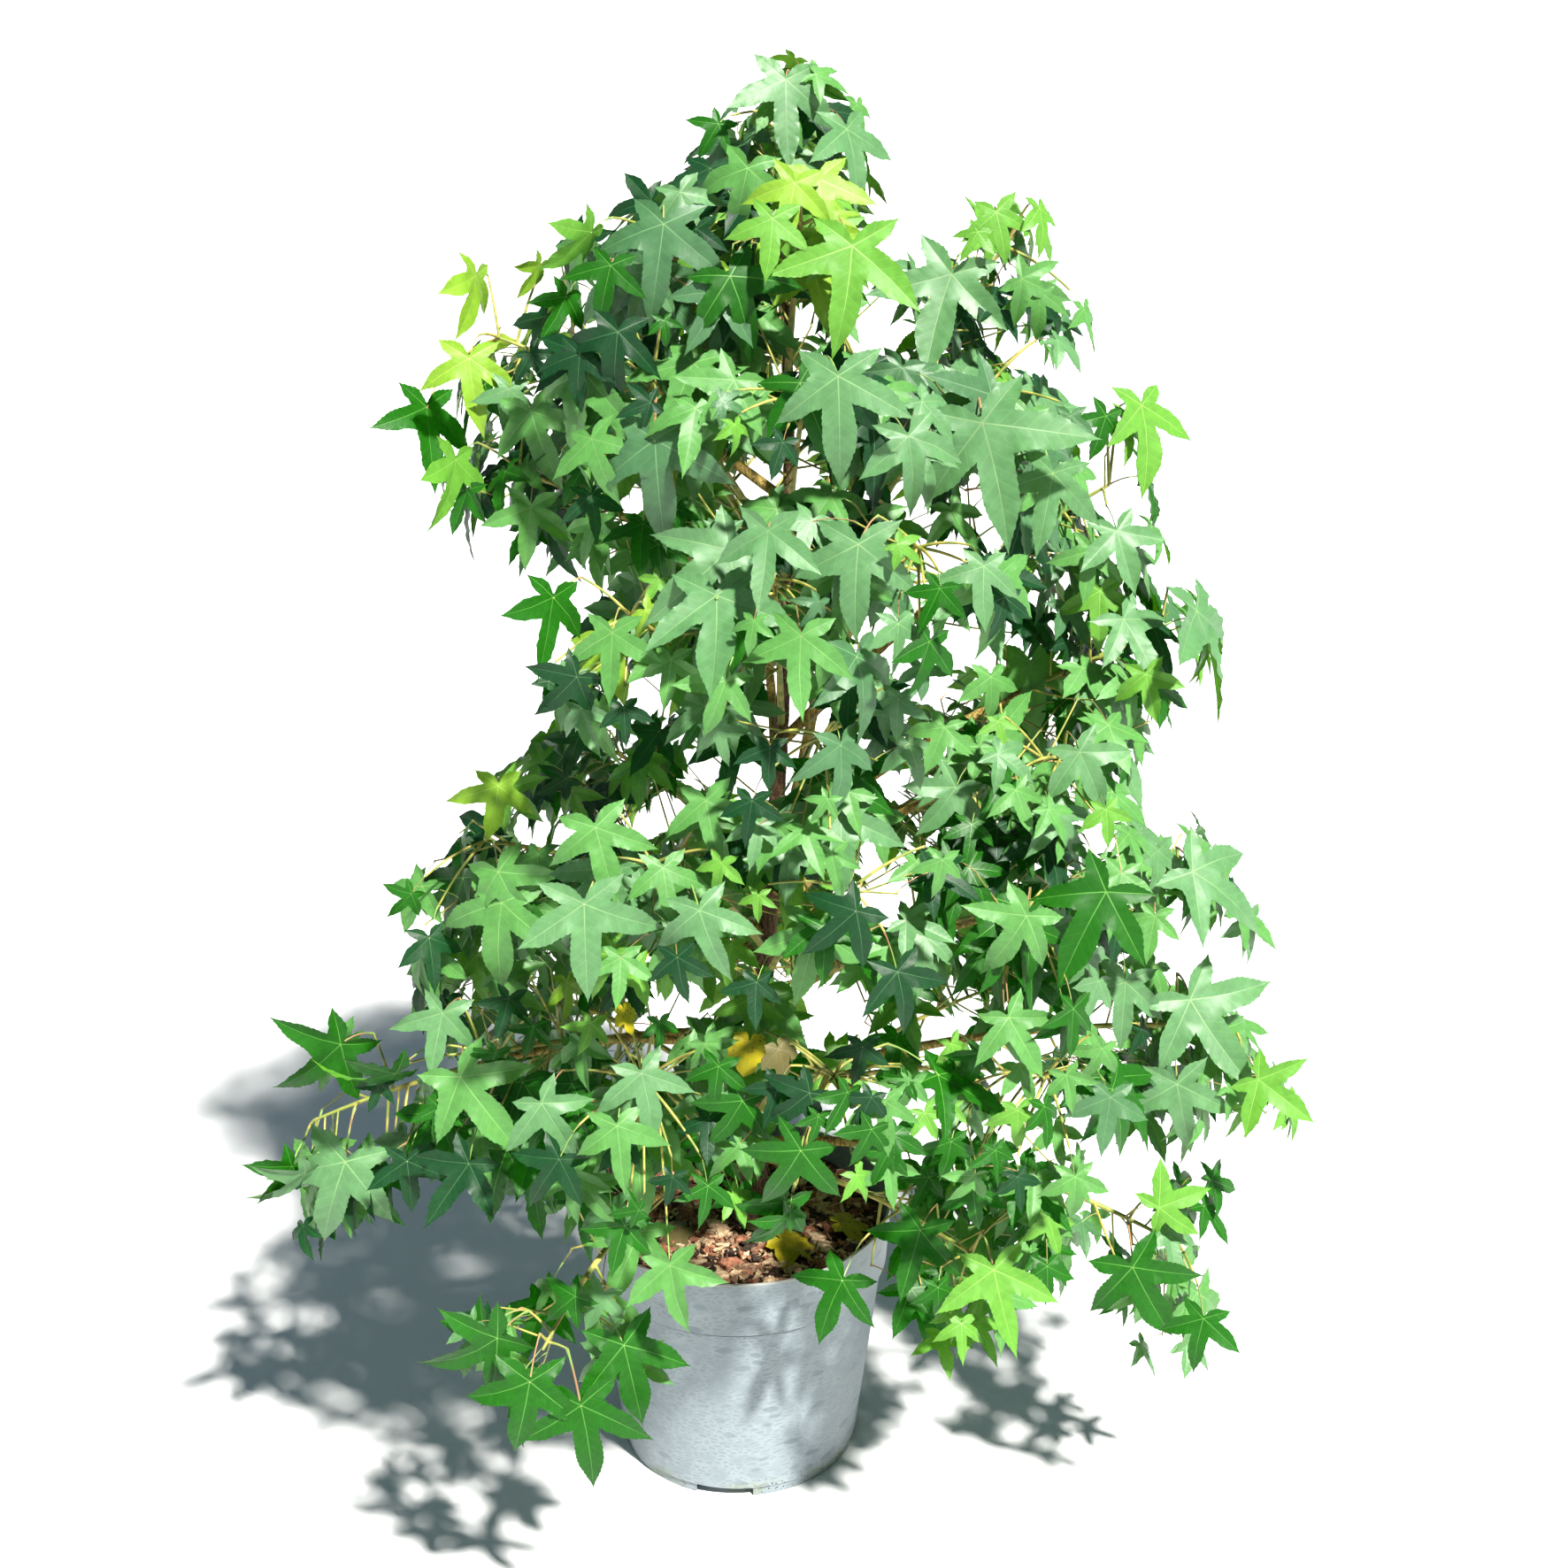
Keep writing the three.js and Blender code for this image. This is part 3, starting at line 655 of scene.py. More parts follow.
# %% A leaf's outline and triangles
class LeafShape:
    """One flat leaf of length one, its middle lobe along +X, with what is needed to bend it."""

    def __init__(self, tooth, random, fullness=1.0):
        self.plain = tooth > TOOTH
        self.headings = [heading + random.uniform(-LOBE_STRAY, LOBE_STRAY) for heading, _ in LOBES]
        self.reaches = [reach * random.uniform(*SPREAD["reach"]) for _, reach in LOBES]
        notches = []
        for heading, radius in NOTCHES:
            notches.append(heading_of(heading) * radius * fullness * random.uniform(*SPREAD["notch"]))
        outline = []
        for k, (heading, reach) in enumerate(zip(self.headings, self.reaches)):
            width = LOBE_WIDTH * fullness * (0.30 + 0.70 * reach) * random.uniform(*SPREAD["width"])
            outline += lobe_side(heading, reach, notches[k], width, tooth, random)
            outline.append(heading_of(heading) * reach)
            outline += lobe_side(heading, reach, notches[k + 1], width, tooth, random)[::-1]
        self.rim = len(outline)
        self.triangulate(outline)
        self.measure()

    def vein_half(self, along, reach):
        return VEIN * (1 - along / (reach * 1.02)) + VEIN_TIP

    def triangulate(self, outline):
        points = list(outline)
        edges = []
        for heading, reach in zip(self.headings, self.reaches):
            ahead = heading_of(heading)
            across = np.array([-ahead[1], ahead[0]])
            stations = np.array(PLAIN_STATIONS if self.plain else STATIONS) * reach
            for side in (-1, 1):
                first = len(points)
                points += [ahead * s + across * side * self.vein_half(s, reach) for s in stations]
                edges += [(first + i, first + i + 1) for i in range(len(stations) - 1)]
            for s in PLAIN_RIBS if self.plain else RIBS:
                for side in (-1, 1):
                    points.append(ahead * s * reach + across * side * RIB_ASIDE * (0.35 + 0.65 * reach))
        done = delaunay_2d_cdt([Vector(p) for p in points], edges, [list(range(self.rim))], 1, 1e-5)
        self.flat = np.array([tuple(p) for p in done[0]])
        self.faces = np.array([list(face) for face in done[2]])
        corners = self.flat[self.faces]
        one, two = corners[:, 1] - corners[:, 0], corners[:, 2] - corners[:, 0]
        turned = one[:, 0] * two[:, 1] - one[:, 1] * two[:, 0] < 0
        self.faces[turned] = self.faces[turned][:, ::-1]

    def measure(self):
        """How far each point lies along and beside its nearest lobe, and how much each lobe sways it."""
        aheads = np.array([heading_of(heading) for heading in self.headings])
        acrosses = np.stack([-aheads[:, 1], aheads[:, 0]], 1)
        self.radius = np.linalg.norm(self.flat, axis=1)
        cosine = self.flat @ aheads.T / np.maximum(self.radius, 1e-6)[:, None]
        self.sway = np.exp(6 * cosine)
        self.sway /= self.sway.sum(1, keepdims=True)
        nearest = cosine.argmax(1)
        rows = np.arange(len(self.flat))
        self.along = (self.flat @ aheads.T)[rows, nearest]
        self.beside = (self.flat @ acrosses.T)[rows, nearest]
        centres = self.flat[self.faces].mean(1)
        along, beside = centres @ aheads.T, centres @ acrosses.T
        halves = np.array([[self.vein_half(a, r) for a, r in zip(row, self.reaches)] for row in along])
        ends = np.array(self.reaches) * VEIN_END
        vein = ((np.abs(beside) < halves) & (along > 0) & (along < ends)).any(1)
        near = (centres @ aheads.T / np.linalg.norm(centres, axis=1)[:, None]).argmax(1)
        corners = self.flat[self.faces]
        ahead, across = aheads[near][:, None], acrosses[near][:, None]
        places = np.stack([(corners * ahead).sum(2), (corners * across).sum(2)], 2)
        self.all_faces = np.concatenate([self.faces, self.faces[:, ::-1] + len(self.flat)])
        self.slots = np.concatenate([vein.astype(np.int32), np.full(len(self.faces), 2, np.int32)])
        self.places = np.concatenate([places, places[:, ::-1]])


DYING_FULLNESS = 1.8  # old leaves have broad lobes and shallow notches
shapes = [LeafShape(TOOTH, np.random.RandomState(40 + i)) for i in range(7)]
small_shapes = [LeafShape(SMALL_TOOTH, np.random.RandomState(60 + i)) for i in range(5)]
dying_shapes = [LeafShape(TOOTH, np.random.RandomState(80 + i), DYING_FULLNESS) for i in range(3)]
print("triangles in each leaf:", [len(shape.all_faces) for shape in shapes + small_shapes])

# %% [markdown]
# ## Bending a leaf
# No leaf is flat. Each one is folded up a little along its main veins, its lobes droop and curl at the
# tips, lean to one side and twist, and its edge is wavy. Each of these is a height over the flat leaf, with
# a strength drawn for that leaf or lobe, and the sum is what makes two leaves of one shape look different.

# %% Leaves in space
LEAF_THICKNESS = 0.00035
BEND = {
    "fold": (0.16, 0.52),  # up from the main veins
    "curl": (0.2, 1.5),  # back down towards the edge
    "droop": (0.0, 0.34),  # of the whole leaf
    "lobe_droop": (-0.14, 0.40),  # more or less of it in each lobe
    "lean": (-0.14, 0.14),  # of each lobe to one side
    "twist": (-0.7, 0.7),  # of each lobe about its vein
    "wave": (0.004, 0.014),  # of the edge
}
WAVES = 38  # radians from a leaf's foot to its tip
WAVY_PAST = 0.08  # how far from the vein the waves have their full height
DRAWN_IN = 0.25  # how much shorter a drooping lobe looks
MOST_DROOP = 0.6


def bent_leaf(shape, length, random):
    """The points of a leaf with its own bend, in its own frame: middle lobe, side, face."""
    lobes = len(LOBES)
    fold = random.uniform(*BEND["fold"])
    curl = random.uniform(*BEND["curl"])
    droop = random.uniform(*BEND["droop"]) + random.uniform(*BEND["lobe_droop"], lobes)
    lean = random.uniform(*BEND["lean"], lobes)
    twist = random.uniform(*BEND["twist"], lobes)
    wave = random.uniform(*BEND["wave"])
    phase = random.uniform(0, 2 * math.pi)
    drop = shape.sway @ droop
    aside = np.abs(shape.beside)
    height = fold * aside - curl * shape.beside**2 - drop * shape.radius**2
    height += shape.sway @ twist * shape.beside * shape.along
    height += wave * np.sin(shape.along * WAVES + phase) * np.minimum(1, aside / WAVY_PAST)
    out = unit(shape.flat + 1e-9)
    swerve = (shape.sway @ lean * shape.radius**2)[:, None] * np.stack([-out[:, 1], out[:, 0]], 1)
    flat = (shape.flat + swerve) * (1 - DRAWN_IN * np.minimum(drop, MOST_DROOP) * shape.radius)[:, None]
    top = np.column_stack([flat, height]) * length
    underside = top - (0, 0, LEAF_THICKNESS)
    return np.concatenate([top, underside])


# %% [markdown]
# ## Leaf finishes
# The colour of a leaf is its age and its place: blue-green and dull where it is old and high, clear green
# lower down, yellow-green on the newest shoots. Some of the colours are painted light and shade: a darker
# copy of the old blue-green and a nearly black green are painted shade, for leaves that lie in shade and
# inside the crown, and the new shoots' yellow-green, dealt out inside the crown, paints the glow of leaves
# lit from behind. These colours are dealt out shoot by shoot as finishes of their own. Within a finish there
# are only the side veins, a faint mottle and the quilted relief between the veins.

# %% Leaf finishes
SIDE_VEIN = 0.105  # from one side vein to the next, as a share of a leaf
SIDE_VEIN_SLANT = 0.85
TINTS = {  # upper side, vein, underside
    "mature": ((0.072, 0.180, 0.068), (0.15, 0.28, 0.11), (0.14, 0.26, 0.08)),
    # painted shade: a darker copy of the mature tint, for old leaves that lie in shade
    "slate": ((0.040, 0.116, 0.045), (0.10, 0.21, 0.085), (0.09, 0.19, 0.06)),
    "summer": ((0.066, 0.200, 0.044), (0.14, 0.31, 0.08), (0.13, 0.29, 0.05)),
    "lush": ((0.007, 0.072, 0.002), (0.055, 0.21, 0.020), (0.06, 0.20, 0.012)),
    # painted shade: nearly black, for leaves inside the crown and in its shaded hollows
    "deep": ((0.0035, 0.030, 0.009), (0.026, 0.09, 0.026), (0.035, 0.12, 0.012)),
    # the new shoots' yellow-green; dealt out inside the crown it paints the glow of leaves lit from behind
    "fresh": ((0.086, 0.235, 0.028), (0.18, 0.36, 0.06), (0.17, 0.34, 0.03)),
    "young": ((0.155, 0.290, 0.024), (0.26, 0.40, 0.06), (0.25, 0.38, 0.035)),
    "gold": ((0.38, 0.32, 0.012), (0.34, 0.27, 0.04), (0.32, 0.26, 0.03)),
    "dry": ((0.105, 0.090, 0.034), (0.20, 0.16, 0.08), (0.16, 0.12, 0.05)),
}
DECAY = {"gold": 0.8, "dry": 0.7}  # how brown the spots of a dying leaf are
ROT_BROWN = (0.17, 0.07, 0.02)
GLOSS = {"mature": 0.42, "slate": 0.42, "summer": 0.34}  # the waxy leaves shine more than the others
DULL_GLOSS = 0.22
GLOW_DEPTH = (0.0016, 0.0028, 0.0005)  # how far red, green and blue light go through a blade


def blade_finish(name, colour, shine, gloss, decay=0.0):
    """A leaf's upper side or underside. decay is how brown its spots are."""
    finish = Finish(name, colour, shine, Specular_IOR_Level=gloss, Subsurface_Weight=0.28)
    finish.shader.inputs["Subsurface Radius"].default_value = GLOW_DEPTH
    finish.shader.inputs["Subsurface Scale"].default_value = 1.0
    split = finish.node("UVMap", {"uv_map": "blade"})
    along = finish.node("SeparateXYZ", inputs={0: split}, output="X")
    beside = finish.node("SeparateXYZ", inputs={0: split}, output="Y").maths("ABSOLUTE")
    step = (along - beside * SIDE_VEIN_SLANT) * (1 / SIDE_VEIN)
    between = step.maths("PINGPONG", 0.5)
    vein = 1 - between.between(0.02, 0.075)
    mottle = finish.noise(45, 3)
    pale = [min(1, 1.35 * c + 0.01) for c in colour]
    dull = [0.80 * c for c in colour]
    blotch = finish.noise(130, 3).between(0.30, 0.70)
    ground = finish.mix(mottle * 0.55 + blotch * 0.40, dull, [1.25 * c for c in colour])
    if decay:
        spots = 1 - finish.cells(240).between(0.16, 0.30)
        spots = spots * finish.noise(70, 3).between(0.42, 0.56)
        ground = finish.mix(spots * decay, ground, ROT_BROWN)
    finish.set("Base Color", finish.mix(vein * 0.38, ground, pale))
    finish.set("Roughness", mottle * 0.16 + (shine - 0.08))
    finish.bump(between * 0.3 + finish.noise(600, 2) * 0.2, 0.0006, 0.55)
    return finish


def vein_finish(name, colour):
    finish = Finish(name, colour, 0.5)
    patches = finish.noise(30).between(0.4, 0.65)
    finish.set("Base Color", finish.mix(patches, colour, [0.8 * c for c in colour]))
    return finish


leaf_finishes = {}
for tint, (upper, vein, under) in TINTS.items():
    leaf_finishes[tint] = [
        blade_finish("leaf_" + tint, upper, 0.47, GLOSS.get(tint, DULL_GLOSS), DECAY.get(tint, 0)),
        vein_finish("vein_" + tint, vein),
        blade_finish("underside_" + tint, under, 0.65, 0.25, DECAY.get(tint, 0)),
    ]
print("leaf finishes:", len(leaf_finishes) * 3)

# %% [markdown]
# ## How the crown grows
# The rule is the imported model's: from each mass's stem grow side shoots, turned by the golden angle, and
# from them finer twigs. At each bud a leaf is tried in many ways: its stalk leans outwards, its face turns
# away from the trunk and towards the light, and its middle lobe hangs. Of the ways that stay in the mass's
# space, the one with the most room round it is kept. A leaf with no room isn't grown.

# %% Growing sizes
GOLDEN_ANGLE = math.radians(137.5)
SHOOT = {  # lengths are shares of the mass's spread, and first, last and first_bud are shares of a twig
    "apart": 0.012,
    "length": (0.6, 0.95),
    "first": 0.05,
    "first_on_trunk": 0.40,
    "last": 0.92,
    "forward": 0.45,
    "first_bud": 0.3,
    "turn_off_sky": 1.1,
}
TWIGLET = {"from": (0.42, 0.68), "length": 0.5, "forward": 0.6, "rise": 0.15, "first_bud": 0.45}
TWIG_RADII = {"stem": (0.0031, 0.0013), "shoot": (0.0015, 0.0008), "twiglet": (0.0009, 0.0006)}
PAST_LEAF = 0.02  # how far a twig goes on past its last leaf
BUD_APART = 0.018
STALK = {"share": 0.66, "forward": 0.6, "outward": 0.35, "rise": 0.3}
SWING = 0.9  # radians in which a leaf may face beside outwards
LIFT = (0.30, 0.95)  # radians that its face looks up
LIGHTWARD = 0.5
DROOP = 1.6
ROLL = 0.9
SAG = 0.12  # how far a blade's tip bends away from its face
TRIES = 26
SIZES = (0.93, 1.07)
SMALLEST = 0.78  # the later tries are smaller leaves, down to this
BACKWARD = -0.2  # a leaf doesn't hang back along its stalk more than this
ROOM = 0.0095
SPOT_REACHES = (0.4, 0.7, 0.97)
SPOTS = np.array([(0.12, 0)] + [tuple(heading_of(h) * r * s) for h, r in LOBES for s in SPOT_REACHES])
POT_KEEP = {"radius": 0.152, "height": 0.256}  # no leaf comes nearer to the pot than this
FLOOR_KEEP = 0.012
BOX_KEEP = 0.001


def sideways(along, turn):
    """Unit vectors at right angles to a direction, at turns about it."""
    flat = np.cross(along, UP)
    if flat @ flat < 1e-4:
        flat = np.array([1.0, 0, 0])
    flat = unit(flat)
    raised = np.cross(flat, along)
    turn = np.asarray(turn)[..., None]
    return flat * np.cos(turn) + raised * np.sin(turn)


class Occupied:
    """The spots that limbs and leaves have taken, in blocks of memory that grow."""

    def __init__(self):
        self.spots = np.zeros((60000, 3))
        self.count = 0

    def take(self, spots):
        self.spots[self.count : self.count + len(spots)] = spots
        self.count += len(spots)

    def room(self, groups, centre, reach):
        """The distance from each group of spots to the nearest taken one."""
        taken = self.spots[: self.count]
        near = taken[((taken - centre) ** 2).sum(1) < reach**2]
        if not len(near):
            return np.full(len(groups), reach)
        squares = ((groups[:, :, None, :] - near) ** 2).sum(3)
        return np.sqrt(squares.min((1, 2)))


EYE = np.array(CAMERA_PLACE)
SHOWN_WOOD = [  # where the wood is seen from the front: limb, share of its length, radius of the opening
    ("trunk", 0.62, 0.016),
    ("leader", 0.30, 0.018),
    ("trunk", 0.36, 0.014),
    ("left_lower", 0.42, 0.016),
    ("left_far_low", 0.62, 0.016),
    ("left_far_low", 0.52, 0.014),
    ("left_far_low", 0.32, 0.014),
    ("left_drooper", 0.45, 0.022),
    ("right_high", 0.35, 0.015),
    ("right_low", 0.50, 0.014),
]


def wood_at(limb, share):
    curves = {"trunk": TRUNK_CURVE, "leader": LEADER_CURVE}
    curves.update({mass.name: mass.limb for mass in masses})
    return curves[limb].at(share)


OPENINGS = [(wood_at(limb, share), radius, EYE) for limb, share, radius in SHOWN_WOOD]  # place, radius, end
SUNLIT = {  # where the sun reaches them: across, depth, height, radius of the opening
    "mulch": [
        (-0.060, -0.085, 0.236, 0.024),
        (-0.015, -0.105, 0.236, 0.024),
        (0.030, -0.095, 0.236, 0.024),
        (0.070, -0.070, 0.236, 0.022),
        (0.000, -0.060, 0.236, 0.022),
    ],
    "pot": [
        (-0.050, -0.125, 0.175, 0.022),
        (0.005, -0.130, 0.150, 0.022),
        (0.050, -0.118, 0.120, 0.022),
        (-0.030, -0.118, 0.080, 0.022),
        (0.030, -0.115, 0.060, 0.022),
        (0.080, -0.090, 0.170, 0.020),
    ],
}
SUN = 40 * np.array(KEY["from"])  # far enough off for the rays to be parallel
OPENINGS += [(np.array(place), radius, SUN) for *place, radius in sum(SUNLIT.values(), [])]


def hides(groups):
    """True for each group of spots that would cover one of those places."""
    places = np.array([place for place, _, _ in OPENINGS])
    radii = np.array([radius for _, radius, _ in OPENINGS])
    ways = unit(np.array([end for _, _, end in OPENINGS]) - places)
    offset = groups[:, :, None] - places
    ahead = (offset * ways).sum(-1)
    aside = (offset**2).sum(-1) - ahead**2
    return ((ahead > 0) & (aside < radii**2)).any((1, 2))


FRAME = 1772  # the units across the camera's frame in which the places below are told
PITCH = math.radians(CAMERA_PITCH)
AHEAD = np.array([0, math.cos(PITCH), -math.sin(PITCH)])
RAISED = np.array([0, math.sin(PITCH), math.cos(PITCH)])
RIGHT = np.array([1.0, 0, 0])
SKY = {  # where the sky shows from the front: across and down in the frame, radius
    "beside the top": [
        (1060, 150, 70), (1130, 150, 55), (1190, 165, 45), (1040, 225, 32), (1010, 80, 40), (1050, 60, 60),
        (1075, 235, 14), (770, 95, 50), (735, 160, 32), (690, 150, 45), (640, 200, 38), (590, 240, 42),
        (800, 60, 50),
    ],
    "left": [
        (545, 265, 26), (572, 330, 22), (480, 350, 60), (440, 430, 28), (425, 520, 45), (450, 620, 50),
        (540, 645, 28), (470, 700, 70), (560, 720, 38), (530, 790, 50), (560, 820, 34), (480, 850, 50),
        (470, 930, 42), (395, 985, 42), (405, 1090, 40), (300, 1110, 50), (360, 1120, 24), (290, 1180, 30),
        (240, 1240, 48), (265, 1310, 24), (345, 1262, 20), (310, 1285, 14), (430, 1195, 14),
        (460, 1205, 14), (475, 1180, 10), (412, 1235, 12), (440, 1240, 10), (395, 1265, 14),
        (435, 1270, 12), (485, 1350, 15), (300, 1425, 24), (400, 1470, 55), (410, 1440, 26),
        (460, 1430, 22), (540, 1425, 30), (590, 1420, 24), (625, 1400, 12),
    ],
    "round the drooping bough": [
        (490, 1450, 32), (575, 1440, 20), (640, 1545, 20), (500, 1620, 30), (560, 1680, 30),
        (630, 1700, 16),
    ],
    "right": [
        (1235, 270, 36), (1270, 350, 38), (1265, 410, 14), (1340, 400, 40), (1370, 480, 38),
        (1375, 570, 40), (1345, 600, 10), (1400, 640, 38), (1330, 650, 12), (1430, 730, 35),
        (1365, 800, 22), (1440, 810, 35), (1345, 850, 26), (1330, 885, 30), (1310, 905, 20),
        (1450, 970, 45), (1330, 1065, 22), (1380, 1085, 18), (1440, 1095, 20), (1470, 1150, 38),
        (1500, 1200, 30), (1520, 1270, 26), (1440, 1330, 40), (1430, 1400, 40), (1450, 1470, 30),
        (1390, 1440, 16), (1255, 1345, 20), (1280, 1385, 14), (1235, 1440, 18), (1205, 1520, 26),
        (1215, 1560, 34), (1100, 1580, 34), (1250, 1570, 20), (1290, 1590, 24), (985, 1535, 18),
    ],
    "through the crown": [
        (998, 355, 18), (985, 385, 10), (1012, 270, 14), (905, 358, 16), (1135, 385, 10), (1172, 405, 12),
        (1215, 430, 14), (1222, 492, 10), (1262, 560, 16), (1025, 553, 14), (1108, 560, 12),
        (1120, 605, 10), (1060, 625, 12), (1000, 738, 16), (1088, 728, 16), (1062, 775, 10), (900, 497, 12),
        (912, 540, 10), (845, 543, 12), (715, 562, 12), (655, 672, 14), (728, 787, 18), (632, 730, 10),
        (880, 880, 12), (790, 872, 10), (737, 925, 14), (712, 932, 8), (605, 940, 8), (642, 945, 9),
        (785, 1130, 8), (955, 1140, 20), (928, 1118, 10), (1060, 1175, 20), (1090, 1128, 10),
        (1182, 1168, 16), (1140, 1213, 14), (1168, 1235, 10), (1140, 1275, 10), (1000, 1028, 12),
        (990, 965, 10), (1015, 880, 10), (1240, 945, 14),
    ],
}
SKY_PLACES = np.array(sum(SKY.values(), []), float)
BARE_SHARE = 0.9  # how much of such a place is kept free of twigs
SPOT_MARGINS = np.array([0.20] + [0.13, 0.10, 0.01] * len(LOBES))  # half a leaf's width at each of its spots


def in_frame(points):
    """Where the camera sees points, across and down, and how many units a metre is there."""
    offset = points - EYE
    scale = FOCAL_SHARE * FRAME / (offset @ AHEAD)
    return FRAME / 2 + offset @ RIGHT * scale, FRAME / 2 - offset @ RAISED * scale, scale


def covers_sky(groups, lengths):
    """True for each leaf, told by its spots, that would cover a place where the sky shows."""
    across, down, scale = in_frame(groups)
    reach = SKY_PLACES[:, 2] + (SPOT_MARGINS * scale * lengths[:, None])[..., None]
    square = (across[..., None] - SKY_PLACES[:, 0]) ** 2 + (down[..., None] - SKY_PLACES[:, 1]) ** 2
    return (square < reach**2).any((1, 2))


def crosses_sky(curve):
    """True where a twig would show as a bare line against the sky."""
    across, down, _ = in_frame(curve.at(np.linspace(0, 1, 14)))
    square = (across[:, None] - SKY_PLACES[:, 0]) ** 2 + (down[:, None] - SKY_PLACES[:, 1]) ** 2
    return (square < (BARE_SHARE * SKY_PLACES[:, 2]) ** 2).any()


occupied = Occupied()
low, high = [np.array(corner) for corner in cad_box]
low, high = low + BOX_KEEP, high - BOX_KEEP


# %% A leaf at a bud
class Leaf:
    """A leaf: its bud, its blade's foot and length, and the ways of its stalk, middle lobe, side and face."""

    def __init__(self, node, base, length, stalk, hang, side, face):
        self.node, self.base, self.length, self.stalk = node, base, length, stalk
        self.hang, self.side, self.face = hang, side, face


def turned_about(vectors, axes, angles):
    """Vectors turned about unit axes at right angles to them."""
    return vectors * np.cos(angles)[:, None] + np.cross(axes, vectors) * np.sin(angles)[:, None]


def try_leaf(node, along, outward, size, room_needed, holds, random):
    """The roomiest of many ways that a leaf may hang from a bud, or None."""
    stalk = sideways(along, random.uniform(0, 2 * math.pi, TRIES))
    stalk = unit(stalk + STALK["forward"] * along + STALK["outward"] * outward + STALK["rise"] * UP)
    length = size * random.uniform(*SIZES, TRIES) * np.linspace(1, SMALLEST, TRIES)
    base = node + stalk * (STALK["share"] * length)[:, None]
    heading = np.arctan2(base[:, 1], base[:, 0] - CROWN_MIDDLE) + SWING * random.uniform(-0.5, 0.5, TRIES)
    lift = random.uniform(*LIFT, TRIES)
    level = unit(np.stack([np.cos(heading), np.sin(heading) - LIGHTWARD, 0 * heading], 1))
    face = level * np.cos(lift)[:, None] + UP * np.sin(lift)[:, None]
    hang = stalk - DROOP * UP
    hang = unit(hang - (hang * face).sum(1)[:, None] * face)
    hang = turned_about(hang, face, ROLL * random.uniform(-0.5, 0.5, TRIES))
    side = np.cross(face, hang)
    flat = SPOTS[None, :, :] * length[:, None, None]
    spots = base[:, None] + flat[..., :1] * hang[:, None] + flat[..., 1:] * side[:, None]
    drop = SAG * (SPOTS**2).sum(1) * length[:, None]
    spots = spots - drop[..., None] * face[:, None]
    fits = holds(spots) & (spots > low).all((1, 2)) & (spots < high).all((1, 2))
    fits &= (spots[..., 2] > FLOOR_KEEP).all(1)
    by_pot = np.hypot(spots[..., 0], spots[..., 1]) < POT_KEEP["radius"]
    by_pot &= spots[..., 2] < POT_KEEP["height"]
    fits &= ~by_pot.any(1) & ((stalk * hang).sum(1) > BACKWARD)
    if fits.any():
        fits[fits] = ~hides(spots[fits]) & ~covers_sky(spots[fits], length[fits])
    if not fits.any():
        return None
    ways = np.flatnonzero(fits)
    room = occupied.room(spots[ways], node, 2.0 * size)
    best = room.argmax()
    if room[best] < room_needed:
        return None
    i = ways[best]
    occupied.take(spots[i])
    return Leaf(node, base[i], length[i], stalk[i], hang[i], side[i], face[i])


# %% [markdown]
# The colour of a shoot's leaves follows from where it is: near one of the newest shoots, how high and how far
# out. The shares below are a gardener's judgement of it, not a law.


# %% Dealing out the colours
YOUNG_TIPS = [  # the newest shoots: where, how far round, tint
    (0.041, -0.12, 1.157, 0.045, "young"),
    (0.038, -0.02, 1.239, 0.030, "fresh"),
    (-0.198, 0.00, 1.063, 0.060, "young"),
    (-0.192, -0.03, 1.005, 0.045, "young"),
    (-0.147, 0.05, 1.074, 0.050, "fresh"),
    (0.325, -0.02, 0.976, 0.070, "fresh"),
    (0.224, -0.01, 1.139, 0.055, "fresh"),
    (0.089, -0.14, 1.116, 0.050, "fresh"),
    (-0.056, -0.20, 0.881, 0.025, "young"),
    (-0.191, -0.10, 0.690, 0.060, "fresh"),
    (0.015, -0.21, 0.655, 0.060, "fresh"),
    (0.224, -0.25, 0.302, 0.070, "fresh"),
]
CROWN_FOOT = 0.25
CROWN_HEIGHT = 0.95
LEAF_SIZE = {"low": 0.070, "more_high_up": 0.018, "grows_over": 0.75, "inside": 0.72, "spread": (0.80, 1.14)}
FULL_SIZE_FROM = 0.20  # how far from the middle a leaf has its full size
CROWN_REACH = 0.35
INSIDE_SHARE = 0.52


def leaf_size(place, random):
    """A leaf's middle lobe: the higher and outer leaves are the larger ones."""
    share = np.clip((place[2] - CROWN_FOOT) / LEAF_SIZE["grows_over"], 0, 1)
    out = np.clip(np.hypot(place[0] - CROWN_MIDDLE, place[1]) / FULL_SIZE_FROM, 0, 1)
    size = LEAF_SIZE["low"] + LEAF_SIZE["more_high_up"] * share
    fullness = LEAF_SIZE["inside"] + (1 - LEAF_SIZE["inside"]) * out
    return size * fullness * random.uniform(*LEAF_SIZE["spread"])


